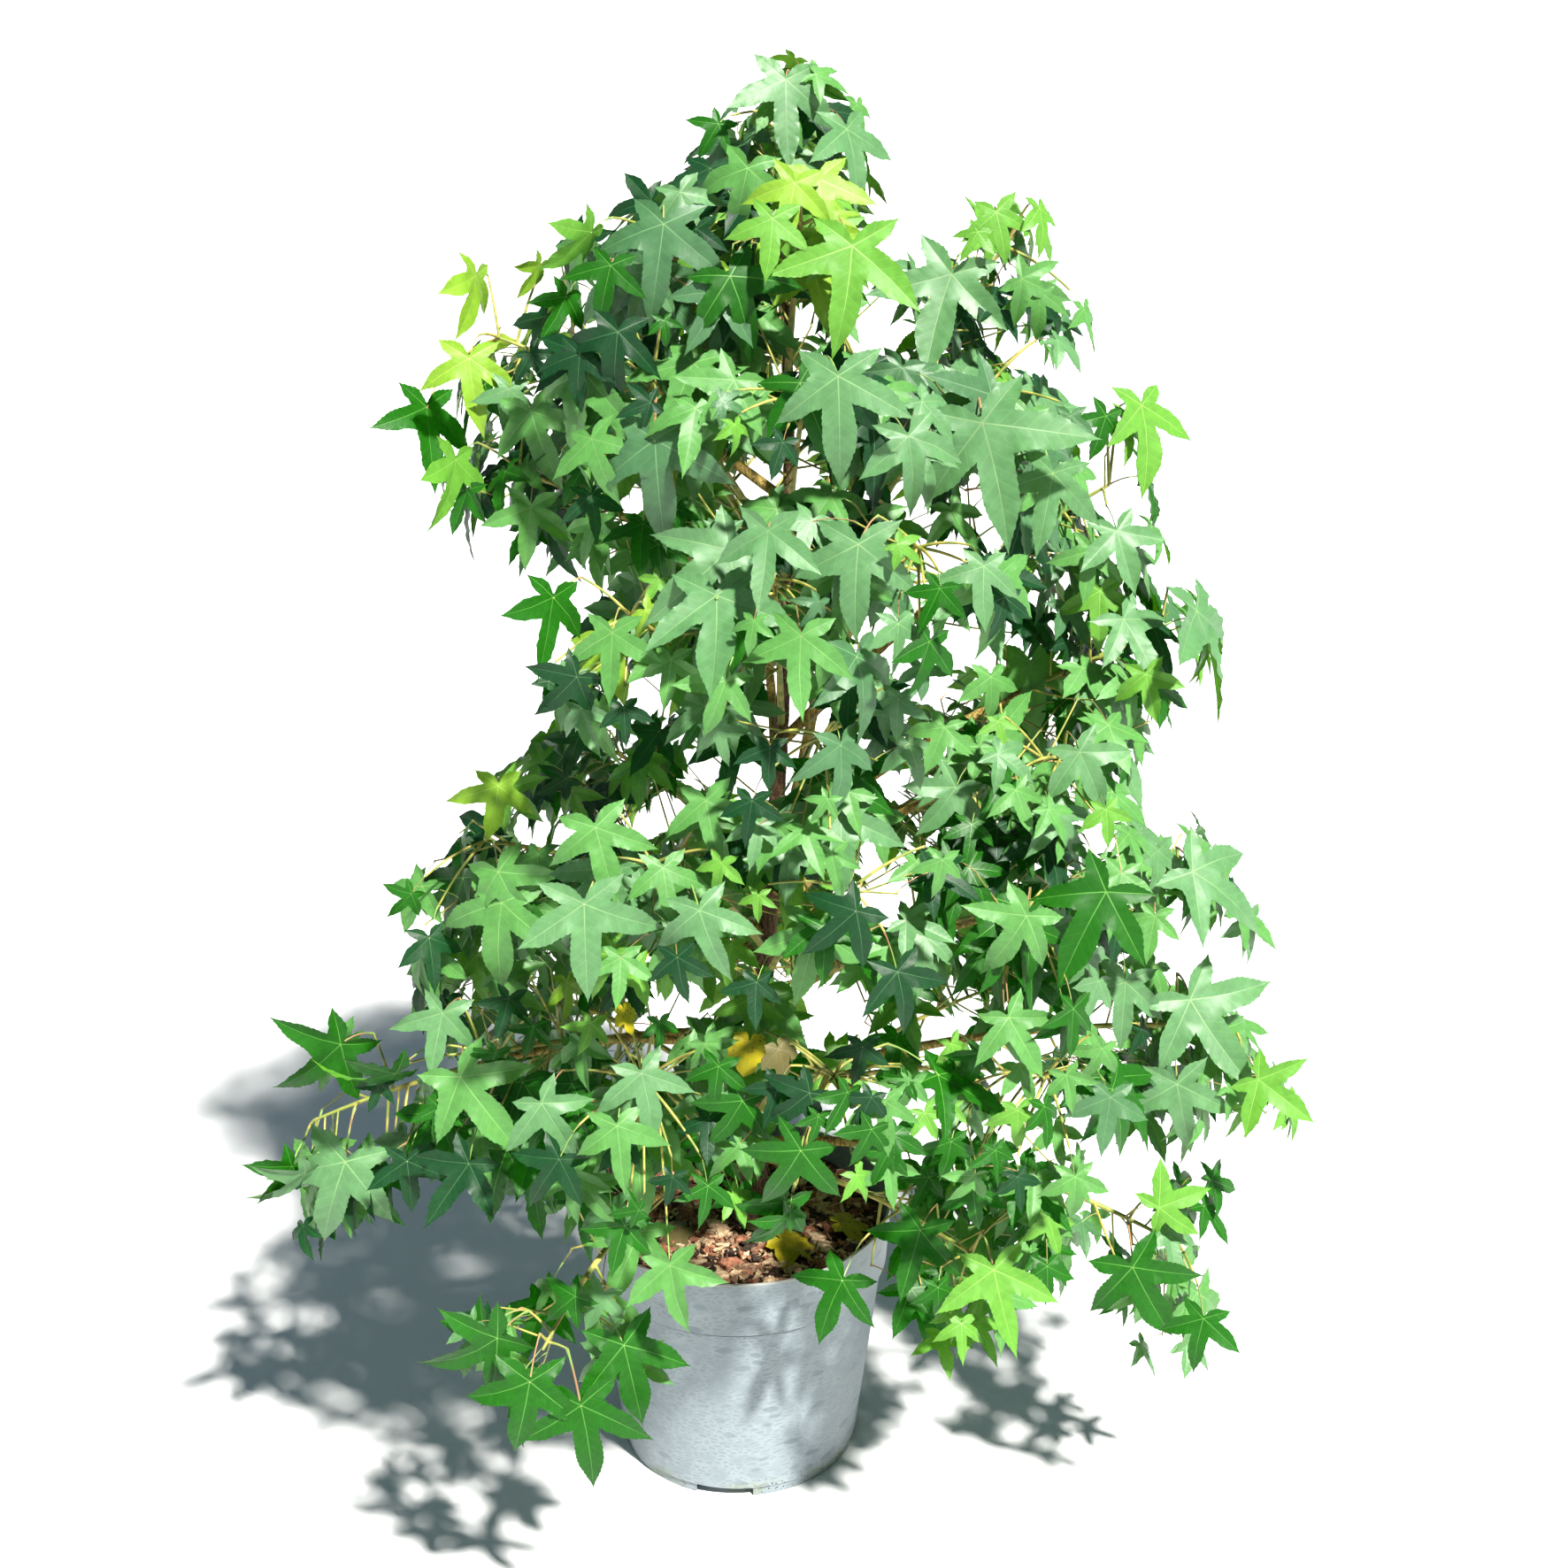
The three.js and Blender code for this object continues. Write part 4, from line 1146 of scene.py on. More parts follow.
def tint_at(place, random):
    """The tint of a shoot's leaves: of a young shoot where one is near, and else by chance."""
    for x, y, z, radius, tint in YOUNG_TIPS:
        if np.linalg.norm(place - (x, y, z)) < radius:
            return tint
    height = np.clip((place[2] - CROWN_FOOT) / CROWN_HEIGHT, 0, 1)
    inside = np.hypot(place[0] - CROWN_MIDDLE, place[1]) / CROWN_REACH < INSIDE_SHARE
    chances = {
        "mature": 0.12 + 0.62 * height,
        # the darker copy of mature: painted shade, more of it high up
        "slate": 0.30 * height,
        "summer": 0.85 - 0.40 * height,
        "lush": 0.20 + 0.80 * (1 - height) ** 1.5,
        # nearly black leaves, most of them inside the crown: painted shade
        "deep": 1.3 if inside else 0.24,
        # inside the crown, this yellow-green paints the glow of leaves lit from behind
        "fresh": 0.45 if inside else 0.08,
    }
    weights = np.array(list(chances.values()))
    return list(chances)[random.choice(len(weights), p=weights / weights.sum())]


# %% Twigs, stalks and buds
grown = []  # (mass name, tint, leaf)
twigs = Heap()
stalks = Heap()
STALK_RADIUS = 0.00066  # of a leaf of usual length
USUAL_LENGTH = 0.07
STALK_SAG = 0.10
INTO_BLADE = 0.015
STALK_SWELL = np.array([1.9, 1.15, 1.0, 1.0, 1.05, 1.2])  # thick at the twig, a little so at the blade
SMALL_STALK_RINGS = [0, 1, 3, 5]
SMALL_STALK_SWELL = np.array([1.9, 1.1, 1.0, 1.2])
YOUNG_SCALE = 0.8
# These masses have their buds and shoots so many times further apart.
AIRY = {"left_drooper": 3.5, "right_tip_low": 2.0, "right_base": 1.4, "top": 1.3}


def grow_twig(curve, start_radius, end_radius, sides=6, rings=7):
    line = curve.at(np.linspace(0, 1, rings))
    twigs.add(*tube(line, np.linspace(start_radius, end_radius, rings), sides))


def grow_stalk(leaf):
    """A leaf's stalk, which leaves its twig sideways and sags to the blade."""
    reach = np.linalg.norm(leaf.base - leaf.node)
    bend = leaf.node + leaf.stalk * 0.5 * reach + UP * STALK_SAG * leaf.length
    curve = Curve(leaf.node, bend, leaf.base + leaf.hang * INTO_BLADE * leaf.length)
    line = curve.at(np.linspace(0, 1, len(STALK_SWELL)))
    radius = STALK_RADIUS * leaf.length / USUAL_LENGTH
    if leaf.length < SMALL:
        stalks.add(*tube(line[SMALL_STALK_RINGS], SMALL_STALK_SWELL * radius, 3))
    else:
        stalks.add(*tube(line, STALK_SWELL * radius, 4))


def bear_leaves(mass, curve, shares, tint, random, scale=1.0, room=ROOM):
    """Leaves along a twig. Returns the furthest share at which one grew."""
    furthest = 0
    for share in shares:
        node = curve.at(share)
        size = leaf_size(node, random) * scale * (YOUNG_SCALE if tint == "young" else 1.0)
        leaf = try_leaf(node, curve.along(share), mass.outward, size, room, mass.holds, random)
        if leaf is None:
            continue
        grown.append((mass.name, tint, leaf))
        grow_stalk(leaf)
        furthest = max(furthest, share)
    return furthest


def buds(length, first, last, apart):
    """Shares of a twig for its buds, from the tip back."""
    count = max(1, int((last - first) * length / apart) + 1)
    return np.linspace(last, first, count) if count > 1 else [last]


TWIG_RISE = 0.08
SHOOT_LIFT = {"heights": (0.25, 0.75), "lifts": (-0.75, 0.10)}


def twig_from(parent, share, turn, length, forward, rise):
    """The curve of a side twig: straight out at first, then lifting to the light."""
    along = parent.along(share)
    way = unit(sideways(along, turn) + forward * along + rise * UP)
    start = parent.at(share)
    return Curve(start, start + way * length * 0.5, start + way * length + UP * TWIG_RISE * length)


def kept_part(twig, furthest):
    """A twig up to a little past its last leaf."""
    return twig.stretch(0, min(1, furthest + PAST_LEAF))


def lift_of_shoots(height):
    """High shoots rise to the light, and low ones are weighed down."""
    return float(np.interp(height, SHOOT_LIFT["heights"], SHOOT_LIFT["lifts"]))


# %% Growing one mass
def grow_twiglets(mass, shoot, turn, reach, apart, tint, random):
    """The finer twigs of a shoot. Returns the furthest share of it from which one grew."""
    furthest = 0
    length = reach * TWIGLET["length"]
    for j, share in enumerate(TWIGLET["from"]):
        way = turn + (j + 1) * GOLDEN_ANGLE
        twiglet = twig_from(shoot, share, way, length, TWIGLET["forward"], TWIGLET["rise"])
        if crosses_sky(twiglet):
            continue
        if bear_leaves(mass, twiglet, buds(length, TWIGLET["first_bud"], 0.97, apart), tint, random):
            grow_twig(twiglet, *TWIG_RADII["twiglet"], 5, 5)
            furthest = share
    return furthest


def grow_mass(mass, random):
    airy = AIRY.get(mass.name, 1)
    apart = BUD_APART * airy
    stem = mass.limb.stretch(mass.share, 1)
    first = SHOOT["first"] if mass.share else SHOOT["first_on_trunk"]
    tint = tint_at(stem.at(0.9), random)
    radius, tip_radius = TWIG_RADII["stem"]
    grow_twig(stem, radius if mass.share else mass.girth, tip_radius, 8, 14)
    bear_leaves(mass, stem, buds(stem.length(), max(first, SHOOT["first_bud"]), 0.97, apart), tint, random)
    count = max(3, round(mass.spread / SHOOT["apart"] / airy))
    for i in range(count):
        share = first + (SHOOT["last"] - first) * i / count
        turn = i * GOLDEN_ANGLE + random.uniform(0, 1)
        reach = mass.spread * random.uniform(*SHOOT["length"])
        for _ in range(5):
            shoot = twig_from(stem, share, turn, reach, SHOOT["forward"], lift_of_shoots(mass.middle[2]))
            if not crosses_sky(shoot):
                break
            turn += SHOOT["turn_off_sky"]
        tint = tint_at(shoot.at(1), random)
        furthest = bear_leaves(mass, shoot, buds(reach, SHOOT["first_bud"], 0.98, apart), tint, random)
        furthest = max(furthest, grow_twiglets(mass, shoot, turn, reach, apart, tint, random))
        if furthest:
            grow_twig(kept_part(shoot, furthest), *TWIG_RADII["shoot"])


for curve in (TRUNK_CURVE, LEADER_CURVE):
    occupied.take(curve.at(np.linspace(0, 1, 90)))
for mass in masses:
    occupied.take(mass.limb.at(np.linspace(0.03, 0.97, 30)))

# %% [markdown]
# A rule alone gives a tree of the right kind, but not this one. What makes this plant itself are about two
# hundred leaves at the front of its masses, so these are placed first and the rule fills in round them.
# Each row tells where the camera sees the leaf: where its stalk joins it and where its middle lobe ends, in
# a frame 1772 units wide. The depth follows from the plan: a leaf lies at the front of the first mass that
# the line of sight meets.

# %% The leaves that are placed
# A row in one of the two dark tints paints the shade in which that leaf lies.
PLACED_LEAVES = {  # tint, stalk's end across and down, lobe's tip across and down, turn in degrees
    "the top": [
        ("mature", 888, 90, 885, 195, 0), ("summer", 922, 84, 968, 104, 20),
        ("mature", 957, 146, 985, 240, 30), ("summer", 845, 190, 820, 285, 0),
        ("lush", 812, 140, 782, 182, 20), ("young", 898, 207, 880, 290, 0),
        ("fresh", 873, 247, 866, 325, 10), ("fresh", 963, 278, 950, 410, 0),
    ],
    "the upper left": [
        ("slate", 750, 253, 728, 375, 0), ("lush", 825, 312, 875, 412, 0), ("deep", 698, 375, 675, 470, 0),
        ("lush", 750, 362, 758, 395, 0), ("fresh", 668, 262, 620, 330, 64),
        ("young", 610, 300, 585, 345, 68), ("summer", 600, 465, 620, 560, 0),
        ("slate", 740, 497, 742, 632, 0), ("summer", 600, 573, 590, 655, 0),
        ("young", 530, 405, 537, 500, 10), ("young", 538, 312, 535, 398, 84),
        ("lush", 482, 460, 487, 560, 38), ("fresh", 515, 520, 517, 610, 62),
    ],
    "the upper front": [
        ("mature", 947, 425, 948, 555, 0), ("mature", 868, 600, 860, 700, 0),
        ("mature", 970, 615, 962, 742, 0), ("summer", 905, 722, 895, 825, 0),
        ("summer", 820, 770, 790, 840, 0), ("summer", 692, 715, 687, 805, 0),
        ("fresh", 745, 655, 725, 685, 0), ("young", 730, 690, 765, 722, 0),
        ("lush", 625, 675, 618, 770, 58),
    ],
    "the upper right": [
        ("fresh", 1126, 240, 1140, 306, 0), ("mature", 1075, 310, 1040, 430, 0),
        ("summer", 1155, 315, 1215, 352, 0), ("fresh", 1175, 235, 1195, 290, 40),
        ("mature", 1195, 385, 1240, 412, 50), ("mature", 1110, 478, 1165, 628, 0),
        ("mature", 1027, 493, 1053, 590, 0), ("mature", 1190, 535, 1170, 632, 0),
        ("fresh", 1290, 458, 1312, 560, 38), ("lush", 1250, 470, 1235, 530, 30),
        ("fresh", 1015, 615, 1050, 640, 0), ("mature", 1112, 640, 1102, 715, 0),
        ("summer", 1233, 622, 1220, 690, 0), ("fresh", 1243, 668, 1240, 750, 0),
        ("mature", 1262, 600, 1290, 680, 0), ("mature", 1270, 700, 1320, 775, 15),
        ("fresh", 1295, 762, 1307, 828, 0), ("summer", 1165, 750, 1180, 855, 0),
        ("mature", 1352, 690, 1402, 822, 62),
    ],
    "the right": [
        ("summer", 1067, 822, 1045, 885, 0), ("fresh", 1128, 815, 1135, 850, 0),
        ("mature", 1220, 850, 1262, 930, 0), ("fresh", 1250, 915, 1258, 965, 0),
        ("mature", 1080, 890, 1040, 962, 0), ("summer", 1065, 972, 1058, 1025, 0),
        ("summer", 940, 965, 945, 1020, 0),
    ],
    "the left": [
        ("young", 563, 888, 555, 965, 15), ("summer", 563, 985, 600, 1075, 0),
        ("summer", 567, 1020, 543, 1140, 0), ("summer", 673, 935, 695, 1035, 0),
        ("mature", 660, 1022, 668, 1148, 0), ("mature", 790, 1033, 813, 1130, 0),
        ("fresh", 815, 975, 802, 1022, 0), ("fresh", 857, 1012, 852, 1048, 0),
    ],
    "the low left": [
        ("deep", 485, 1060, 500, 1125, 20), ("lush", 465, 1010, 435, 1045, 30),
        ("mature", 500, 1145, 478, 1222, 0), ("summer", 520, 1217, 585, 1312, 0),
        ("mature", 612, 1247, 655, 1322, 0), ("mature", 725, 1213, 745, 1300, 0),
        ("summer", 697, 1275, 713, 1358, 0), ("lush", 812, 1205, 800, 1268, 0),
        ("mature", 390, 1313, 350, 1440, 0), ("lush", 385, 1180, 303, 1258, 52),
        ("mature", 345, 1325, 285, 1380, 60), ("deep", 530, 1315, 485, 1390, 0),
        ("deep", 460, 1312, 465, 1385, 0), ("deep", 632, 1310, 590, 1378, 0),
        ("summer", 757, 1430, 773, 1518, 0),
    ],
    "the drooping bough": [
        ("lush", 705, 1520, 738, 1626, 0), ("lush", 655, 1600, 678, 1716, 0),
        ("lush", 597, 1572, 582, 1684, 0), ("lush", 562, 1512, 474, 1574, 30),
        ("lush", 650, 1465, 600, 1498, 0),
    ],
    "before the pot": [
        ("lush", 952, 1447, 907, 1523, 0), ("lush", 1040, 1390, 1010, 1478, 0),
    ],
    "the low right": [
        ("fresh", 1123, 1435, 1140, 1540, 0), ("lush", 1060, 1455, 1066, 1505, 20),
        ("lush", 1280, 1432, 1325, 1535, 0), ("lush", 1360, 1490, 1345, 1562, 0),
        ("fresh", 1310, 1365, 1380, 1334, 0), ("fresh", 1185, 1375, 1195, 1430, 0),
        ("slate", 1255, 1240, 1245, 1318, 0), ("mature", 1330, 1225, 1343, 1325, 0),
        ("fresh", 1422, 1220, 1485, 1272, 0), ("mature", 1272, 1110, 1262, 1200, 0),
        ("mature", 1345, 1130, 1415, 1238, 0), ("lush", 1250, 1008, 1182, 1113, 0),
        ("summer", 1160, 1035, 1105, 1120, 0), ("mature", 1348, 985, 1452, 1052, 10),
        ("deep", 968, 1035, 900, 1098, 0), ("deep", 1015, 1105, 1040, 1190, 0),
        ("summer", 1135, 1155, 1165, 1225, 0),
    ],
    "over the mulch": [
        ("lush", 905, 1300, 858, 1390, 0),
    ],
    "small ones high up": [
        ("lush", 690, 300, 668, 372, 0), ("lush", 640, 335, 620, 395, 50), ("deep", 655, 400, 640, 470, 0),
        ("mature", 575, 440, 570, 500, 30), ("lush", 1062, 665, 1040, 722, 0),
        ("summer", 1120, 765, 1128, 830, 20), ("slate", 1042, 752, 1050, 800, 0),
        ("slate", 1015, 790, 1008, 850, 0), ("deep", 960, 775, 955, 840, 0),
        ("deep", 870, 845, 862, 900, 0), ("deep", 850, 905, 845, 965, 0),
    ],
    "small ones at the waist": [
        ("deep", 765, 1085, 770, 1150, 0), ("summer", 1305, 1035, 1290, 1090, 0),
        ("fresh", 1150, 1255, 1150, 1310, 0), ("lush", 1100, 1345, 1105, 1405, 0),
        ("summer", 1215, 1330, 1222, 1395, 0), ("lush", 1075, 1290, 1068, 1350, 0),
        ("summer", 1000, 1245, 1000, 1310, 0),
    ],
    "small ones at the right top": [
        ("fresh", 1105, 262, 1085, 300, 0), ("summer", 1175, 330, 1172, 390, 0),
        ("summer", 1225, 350, 1238, 402, 40), ("slate", 1210, 470, 1205, 520, 10),
    ],
    "small ones round the pot": [
        ("lush", 722, 1368, 684, 1372, 30), ("lush", 706, 1385, 680, 1447, 25),
        ("lush", 800, 1340, 795, 1397, 20), ("lush", 835, 1345, 838, 1400, 10),
        ("lush", 888, 1358, 846, 1430, 30), ("lush", 893, 1368, 897, 1402, 20),
        ("deep", 760, 1330, 752, 1372, 10), ("deep", 975, 1183, 965, 1238, 0),
        ("lush", 1025, 1220, 1003, 1252, 10), ("deep", 985, 1240, 965, 1285, 10),
        ("lush", 1060, 1215, 1165, 1268, 60), ("fresh", 1075, 1250, 1065, 1285, 15),
        ("lush", 1125, 1300, 1132, 1345, 20), ("lush", 1205, 1150, 1207, 1213, 40),
        ("summer", 1245, 1185, 1226, 1240, 20),
    ],
    "small ones low in front": [
        ("deep", 855, 1110, 845, 1165, 0), ("lush", 1005, 1300, 985, 1345, 20),
        ("lush", 1010, 1283, 1062, 1308, 20), ("summer", 1100, 1328, 1075, 1372, 10),
        ("lush", 1050, 1330, 1028, 1372, 20), ("lush", 1180, 1250, 1197, 1302, 40),
        ("deep", 915, 1235, 860, 1290, 20), ("deep", 1150, 1330, 1160, 1375, 15),
    ],
    "small ones in the middle": [
        ("deep", 1135, 675, 1130, 735, 10), ("mature", 1015, 705, 1025, 770, 40),
        ("lush", 1050, 725, 1035, 805, 55), ("slate", 968, 742, 1000, 850, 50),
        ("slate", 950, 842, 962, 930, 40), ("mature", 1128, 852, 1182, 886, 30),
        ("summer", 1148, 893, 1163, 948, 20), ("summer", 1185, 915, 1215, 956, 10),
        ("slate", 925, 680, 905, 716, 35), ("summer", 852, 702, 843, 744, 0),
        ("summer", 935, 903, 915, 936, 20),
    ],
    "small ones at the left top": [
        ("deep", 600, 400, 625, 442, 0), ("deep", 668, 560, 680, 622, 20), ("lush", 765, 575, 772, 618, 10),
        ("slate", 815, 452, 852, 470, 20), ("deep", 735, 455, 688, 468, 10),
        ("deep", 885, 500, 868, 548, 20), ("fresh", 830, 480, 842, 520, 30),
    ],
    "the small dying leaf": [
        ("gold", 706, 1142, 716, 1172, 40),
    ],
    "the far left": [
        ("lush", 447, 1213, 348, 1250, 58),
    ],
    "over the pot's rim": [
        ("lush", 985, 1276, 962, 1332, 20), ("summer", 1003, 1316, 1018, 1368, 10),
        ("lush", 958, 1234, 935, 1288, 30), ("fresh", 968, 1328, 992, 1368, 20),
        ("deep", 880, 1226, 862, 1284, 20), ("lush", 839, 1244, 806, 1318, 20),
        ("summer", 1030, 1222, 1012, 1270, 20), ("fresh", 828, 1350, 852, 1390, 30),
        ("lush", 890, 1376, 852, 1428, 50), ("lush", 925, 1262, 916, 1302, 10),
        ("fresh", 1045, 1258, 1062, 1298, 0),
    ],
    "round the far left bough": [
        ("deep", 430, 1224, 413, 1262, 20), ("lush", 497, 1252, 490, 1302, 20),
        ("deep", 575, 1128, 560, 1180, 20), ("lush", 603, 1160, 590, 1203, 10),
        ("fresh", 668, 1156, 655, 1200, 20), ("lush", 560, 1190, 540, 1232, 30),
        ("lush", 330, 1318, 286, 1378, 45),
    ],
    "round the low right bough": [
        ("summer", 1140, 1150, 1178, 1226, 10), ("summer", 1153, 1205, 1180, 1254, 20),
        ("lush", 1213, 1140, 1207, 1205, 50), ("lush", 1108, 1190, 1090, 1240, 20),
        ("summer", 1205, 1215, 1222, 1262, 0), ("fresh", 1075, 1180, 1092, 1222, 20),
    ],
    "the low left, behind": [
        ("young", 640, 1110, 648, 1165, 60), ("lush", 745, 1155, 752, 1195, 30),
    ],
    "the dark left side": [
        ("deep", 652, 765, 600, 826, 20), ("deep", 620, 770, 660, 800, 20),
        ("deep", 655, 830, 640, 885, 10), ("deep", 705, 800, 712, 850, 20),
        ("deep", 640, 880, 600, 905, 20),
    ],
    "the dying leaves": [
        ("gold", 847, 1180, 843, 1228, 0), ("dry", 880, 1186, 892, 1226, 20),
    ],
}
LONGEST = 0.108  # no middle lobe is longer
LEFT_SHOWN = (0.1, 0.55)  # the shares of a leaf's middle lobe that no other leaf may cover


def seen_at(across, down, depth):
    """The point at a depth along +Y that the camera sees at a place in its frame."""
    sight = AHEAD + ((across - FRAME / 2) * RIGHT - (down - FRAME / 2) * RAISED) / (FOCAL_SHARE * FRAME)
    return EYE + sight * (depth - EYE[1]) / sight[1]


SEARCH = np.arange(-0.35, 0.12, 0.006)  # depths, from the front of the crown to behind its middle
BESIDE_MASS = 0.004
PLACED = {"turn": 14, "face_up": 0.12, "limb_from": 0.25, "opening": 0.2}
JOINT = {"arch": 0.12, "shortest": 0.006, "radii": (0.0014, 0.0009)}  # the twig that bears a placed leaf
BEHIND = {"ahead": 0.75, "up": 0.35, "limb": 0.55, "hang": -0.25}  # where a placed leaf's stalk goes


def at_front(across, down):
    """Where a line of sight first meets a mass, or comes nearest to one, and that mass."""
    best = None
    for depth in SEARCH:
        point = seen_at(across, down, depth)
        for mass in masses:
            offset = point - mass.middle
            width, height = mass.spread + BESIDE_MASS, mass.depth + BESIDE_MASS
            share = (math.hypot(offset[0], offset[1]) / width) ** 2 + (offset[2] / height) ** 2
            if share <= 1:
                return point, mass
            if best is None or share < best[0]:
                best = (share, point, mass)
    return best[1:]


def into_box(points):
    """The way that brings points into the plant's box."""
    return np.minimum(0, high - points.max(0)) + np.maximum(0, low - points.min(0))


def place_leaf(tint, across, down, tip_across, tip_down, turn, random):
    base, mass = at_front(across, down)
    scale = (base - EYE) @ AHEAD / (FOCAL_SHARE * FRAME)
    length = min(LONGEST, math.hypot(tip_across - across, tip_down - down) * scale)
    hang = unit((tip_across - across) * RIGHT - (tip_down - down) * RAISED)
    turn = math.radians(turn + random.uniform(-PLACED["turn"], PLACED["turn"]))
    face = unit(-AHEAD + PLACED["face_up"] * UP)
    face = unit(face - (face @ hang) * hang)
    side = np.cross(face, hang)
    face = face * math.cos(turn) + side * math.sin(turn)
    side = np.cross(face, hang)
    spots = (SPOTS[:, :1] * hang + SPOTS[:, 1:] * side) * length
    base = base + into_box(base + spots)
    limb = mass.limb.at(np.linspace(PLACED["limb_from"], 1, 40))
    toward = unit(limb[np.linalg.norm(limb - base, axis=1).argmin()] - base)
    way = BEHIND["ahead"] * AHEAD + BEHIND["up"] * UP + BEHIND["limb"] * toward + BEHIND["hang"] * hang
    way = unit(way)
    node = base + STALK["share"] * length * way
    occupied.take(base + spots)
    leaf = Leaf(node, base, length, -way, hang, side, face)
    for share in LEFT_SHOWN:
        OPENINGS.append((base + share * length * hang, PLACED["opening"] * length, EYE))
    grown.append((mass.name, tint, leaf))
    grow_stalk(leaf)
    join_to_limb(node, limb)


def join_to_limb(node, limb):
    """A twig from the nearest point of a limb to a placed leaf's stalk."""
    start = limb[np.linalg.norm(limb - node, axis=1).argmin()]
    gap = np.linalg.norm(node - start)
    if gap > JOINT["shortest"]:
        bend = (start + node) / 2 + UP * JOINT["arch"] * gap
        grow_twig(Curve(start, bend, node), *JOINT["radii"], 6, 8)
        occupied.take(np.linspace(start, node, 6)[1:-1])


placed_random = np.random.RandomState(77)
for row in sum(PLACED_LEAVES.values(), []):
    place_leaf(*row, placed_random)
print("leaves placed:", len(grown))

# %% [markdown]
# A few leaves have died and fallen on the mulch. Each lies nearly flat on it, where a line of sight from
# the camera meets it.

# %% The fallen leaves
MULCH = {"level": 0.231, "crown": 0.005, "seat": 0.045, "gap": 0.0006}
FALLEN_OVER = 0.007  # how far a fallen leaf lies over the mulch, on top of the chips
FALLEN_LEAN = 0.2
FALLEN_LEAVES = {  # tint, stalk's end across and down in the frame, heading in degrees, length
    "by the lip": ("gold", 885, 1402, -25, 0.044),
    "beside it": ("dry", 872, 1388, 100, 0.040),
    "at the right": ("gold", 950, 1382, 15, 0.034),
    "at the left": ("dry", 768, 1388, 210, 0.036),
}


def lay_leaf(tint, across, down, heading, length, random):
    """A leaf that has fallen on the mulch."""
    sight = seen_at(across, down, 0.0) - EYE
    base = EYE + sight * (MULCH["level"] + FALLEN_OVER - EYE[2]) / sight[2]
    face = unit(np.array([*random.uniform(-FALLEN_LEAN, FALLEN_LEAN, 2), 1.0]))
    hang = np.array([*heading_of(heading), 0.0])
    hang = unit(hang - (hang @ face) * face)
    leaf = Leaf(base, base, length, -hang, hang, np.cross(face, hang), face)
    grown.append(("front_base", tint, leaf))


for row in FALLEN_LEAVES.values():
    lay_leaf(*row, placed_random)

# %% The rule fills in the masses
for index, mass in enumerate(masses):
    grow_mass(mass, np.random.RandomState(500 + index))
print("leaves of the masses:", len(grown))

# %% [markdown]
# Short spurs fill the crown between the masses. They stand on the trunk, the second leader and the inner
# part of the boughs, where a young tree keeps small clusters of leaves in half shade.

# %% Spurs on the wood
SPUR = {"apart": 0.024, "length": (0.045, 0.115), "bud": 0.022, "scale": 1.0, "room": ROOM}
SPRIG = {"apart": 0.0085, "length": (0.04, 0.13), "bud": 0.016, "scale": 0.66, "room": 0.0075}
SPUR_WAY = {"forward": 0.4, "rise": 0.25}
OFF_SKY = {"turn": 2.2, "length": 0.7}  # what a spur tries where it would cross the sky
SPUR_TIP = 0.0007  # radius of its end
SPUR_STRAY = 0.062  # how far spurs and sprigs may leave the masses
SPRIG_STRAY = 0.026


class Between:
    """The space in and near the masses, for leaves that belong to none of them."""

    outward = np.zeros(3)
    name = "front_low"

    def __init__(self, stray):
        self.middles = np.array([mass.middle for mass in masses])
        self.sizes = np.array([(mass.spread, mass.spread, mass.depth) for mass in masses]) + stray

    def holds(self, points):
        offset = (points[..., None, :] - self.middles) / self.sizes
        return ((offset**2).sum(-1) <= 1).any(-1).all(-1)

    def nearest(self, place):
        return masses[int(((place - self.middles) ** 2).sum(1).argmin())].name


def grow_spurs(curve, first, last, radius, spur, random):
    count = int((last - first) * curve.length() / spur["apart"])
    for i in range(count):
        share = first + (last - first) * (i + random.uniform()) / count
        reach = random.uniform(*spur["length"])
        turn = i * GOLDEN_ANGLE + random.uniform(0, 1)
        twig = twig_from(curve, share, turn, reach, **SPUR_WAY)
        if crosses_sky(twig):
            twig = twig_from(curve, share, turn + OFF_SKY["turn"], OFF_SKY["length"] * reach, **SPUR_WAY)
        if crosses_sky(twig):
            continue
        between.outward = unit(twig.at(1) - twig.at(0))
        between.name = between.nearest(twig.at(1))
        tint = tint_at(twig.at(1), random)
        shares = buds(reach, 0.30, 0.98, spur["bud"])
        furthest = bear_leaves(between, twig, shares, tint, random, spur["scale"], spur["room"])
        if furthest:
            grow_twig(kept_part(twig, furthest), radius, SPUR_TIP, 5, 6)


between = Between(SPUR_STRAY)
spur_random = np.random.RandomState(900)
for curve, first, last in ((TRUNK_CURVE, 0.16, 0.96), (LEADER_CURVE, 0.1, 0.95)):
    grow_spurs(curve, first, last, 0.0014, SPUR, spur_random)
for mass in masses:
    grow_spurs(mass.limb, 0.16, mass.share or 0.45, 0.0012, SPUR, spur_random)
print("leaves with the spurs:", len(grown))

# %% [markdown]
# Last come the sprigs: short side twigs all along the limbs, with leaves two thirds the size. They close
# the crown from inside, as the small late leaves of a real one do, and they keep to the room that the large
# leaves left.

# %% Sprigs
between = Between(SPRIG_STRAY)
for mass in masses:
    grow_spurs(mass.limb, 0.25, 0.99, 0.0010, SPRIG, spur_random)
for curve, first, last in ((TRUNK_CURVE, 0.30, 0.98), (LEADER_CURVE, 0.1, 0.98)):
    grow_spurs(curve, first, last, 0.0010, SPRIG, spur_random)
print("leaves:", len(grown), "twigs:", twigs.triangles(), "stalks:", stalks.triangles(), "triangles")

# %% [markdown]
# The leaves are sorted into one mesh for each colour, and a colour with very many is cut into several, so
# that no mesh has more than two hundred thousand triangles.

# %% The foliage's meshes
MOST_TRIANGLES = 190000
piece_random = np.random.RandomState(11)


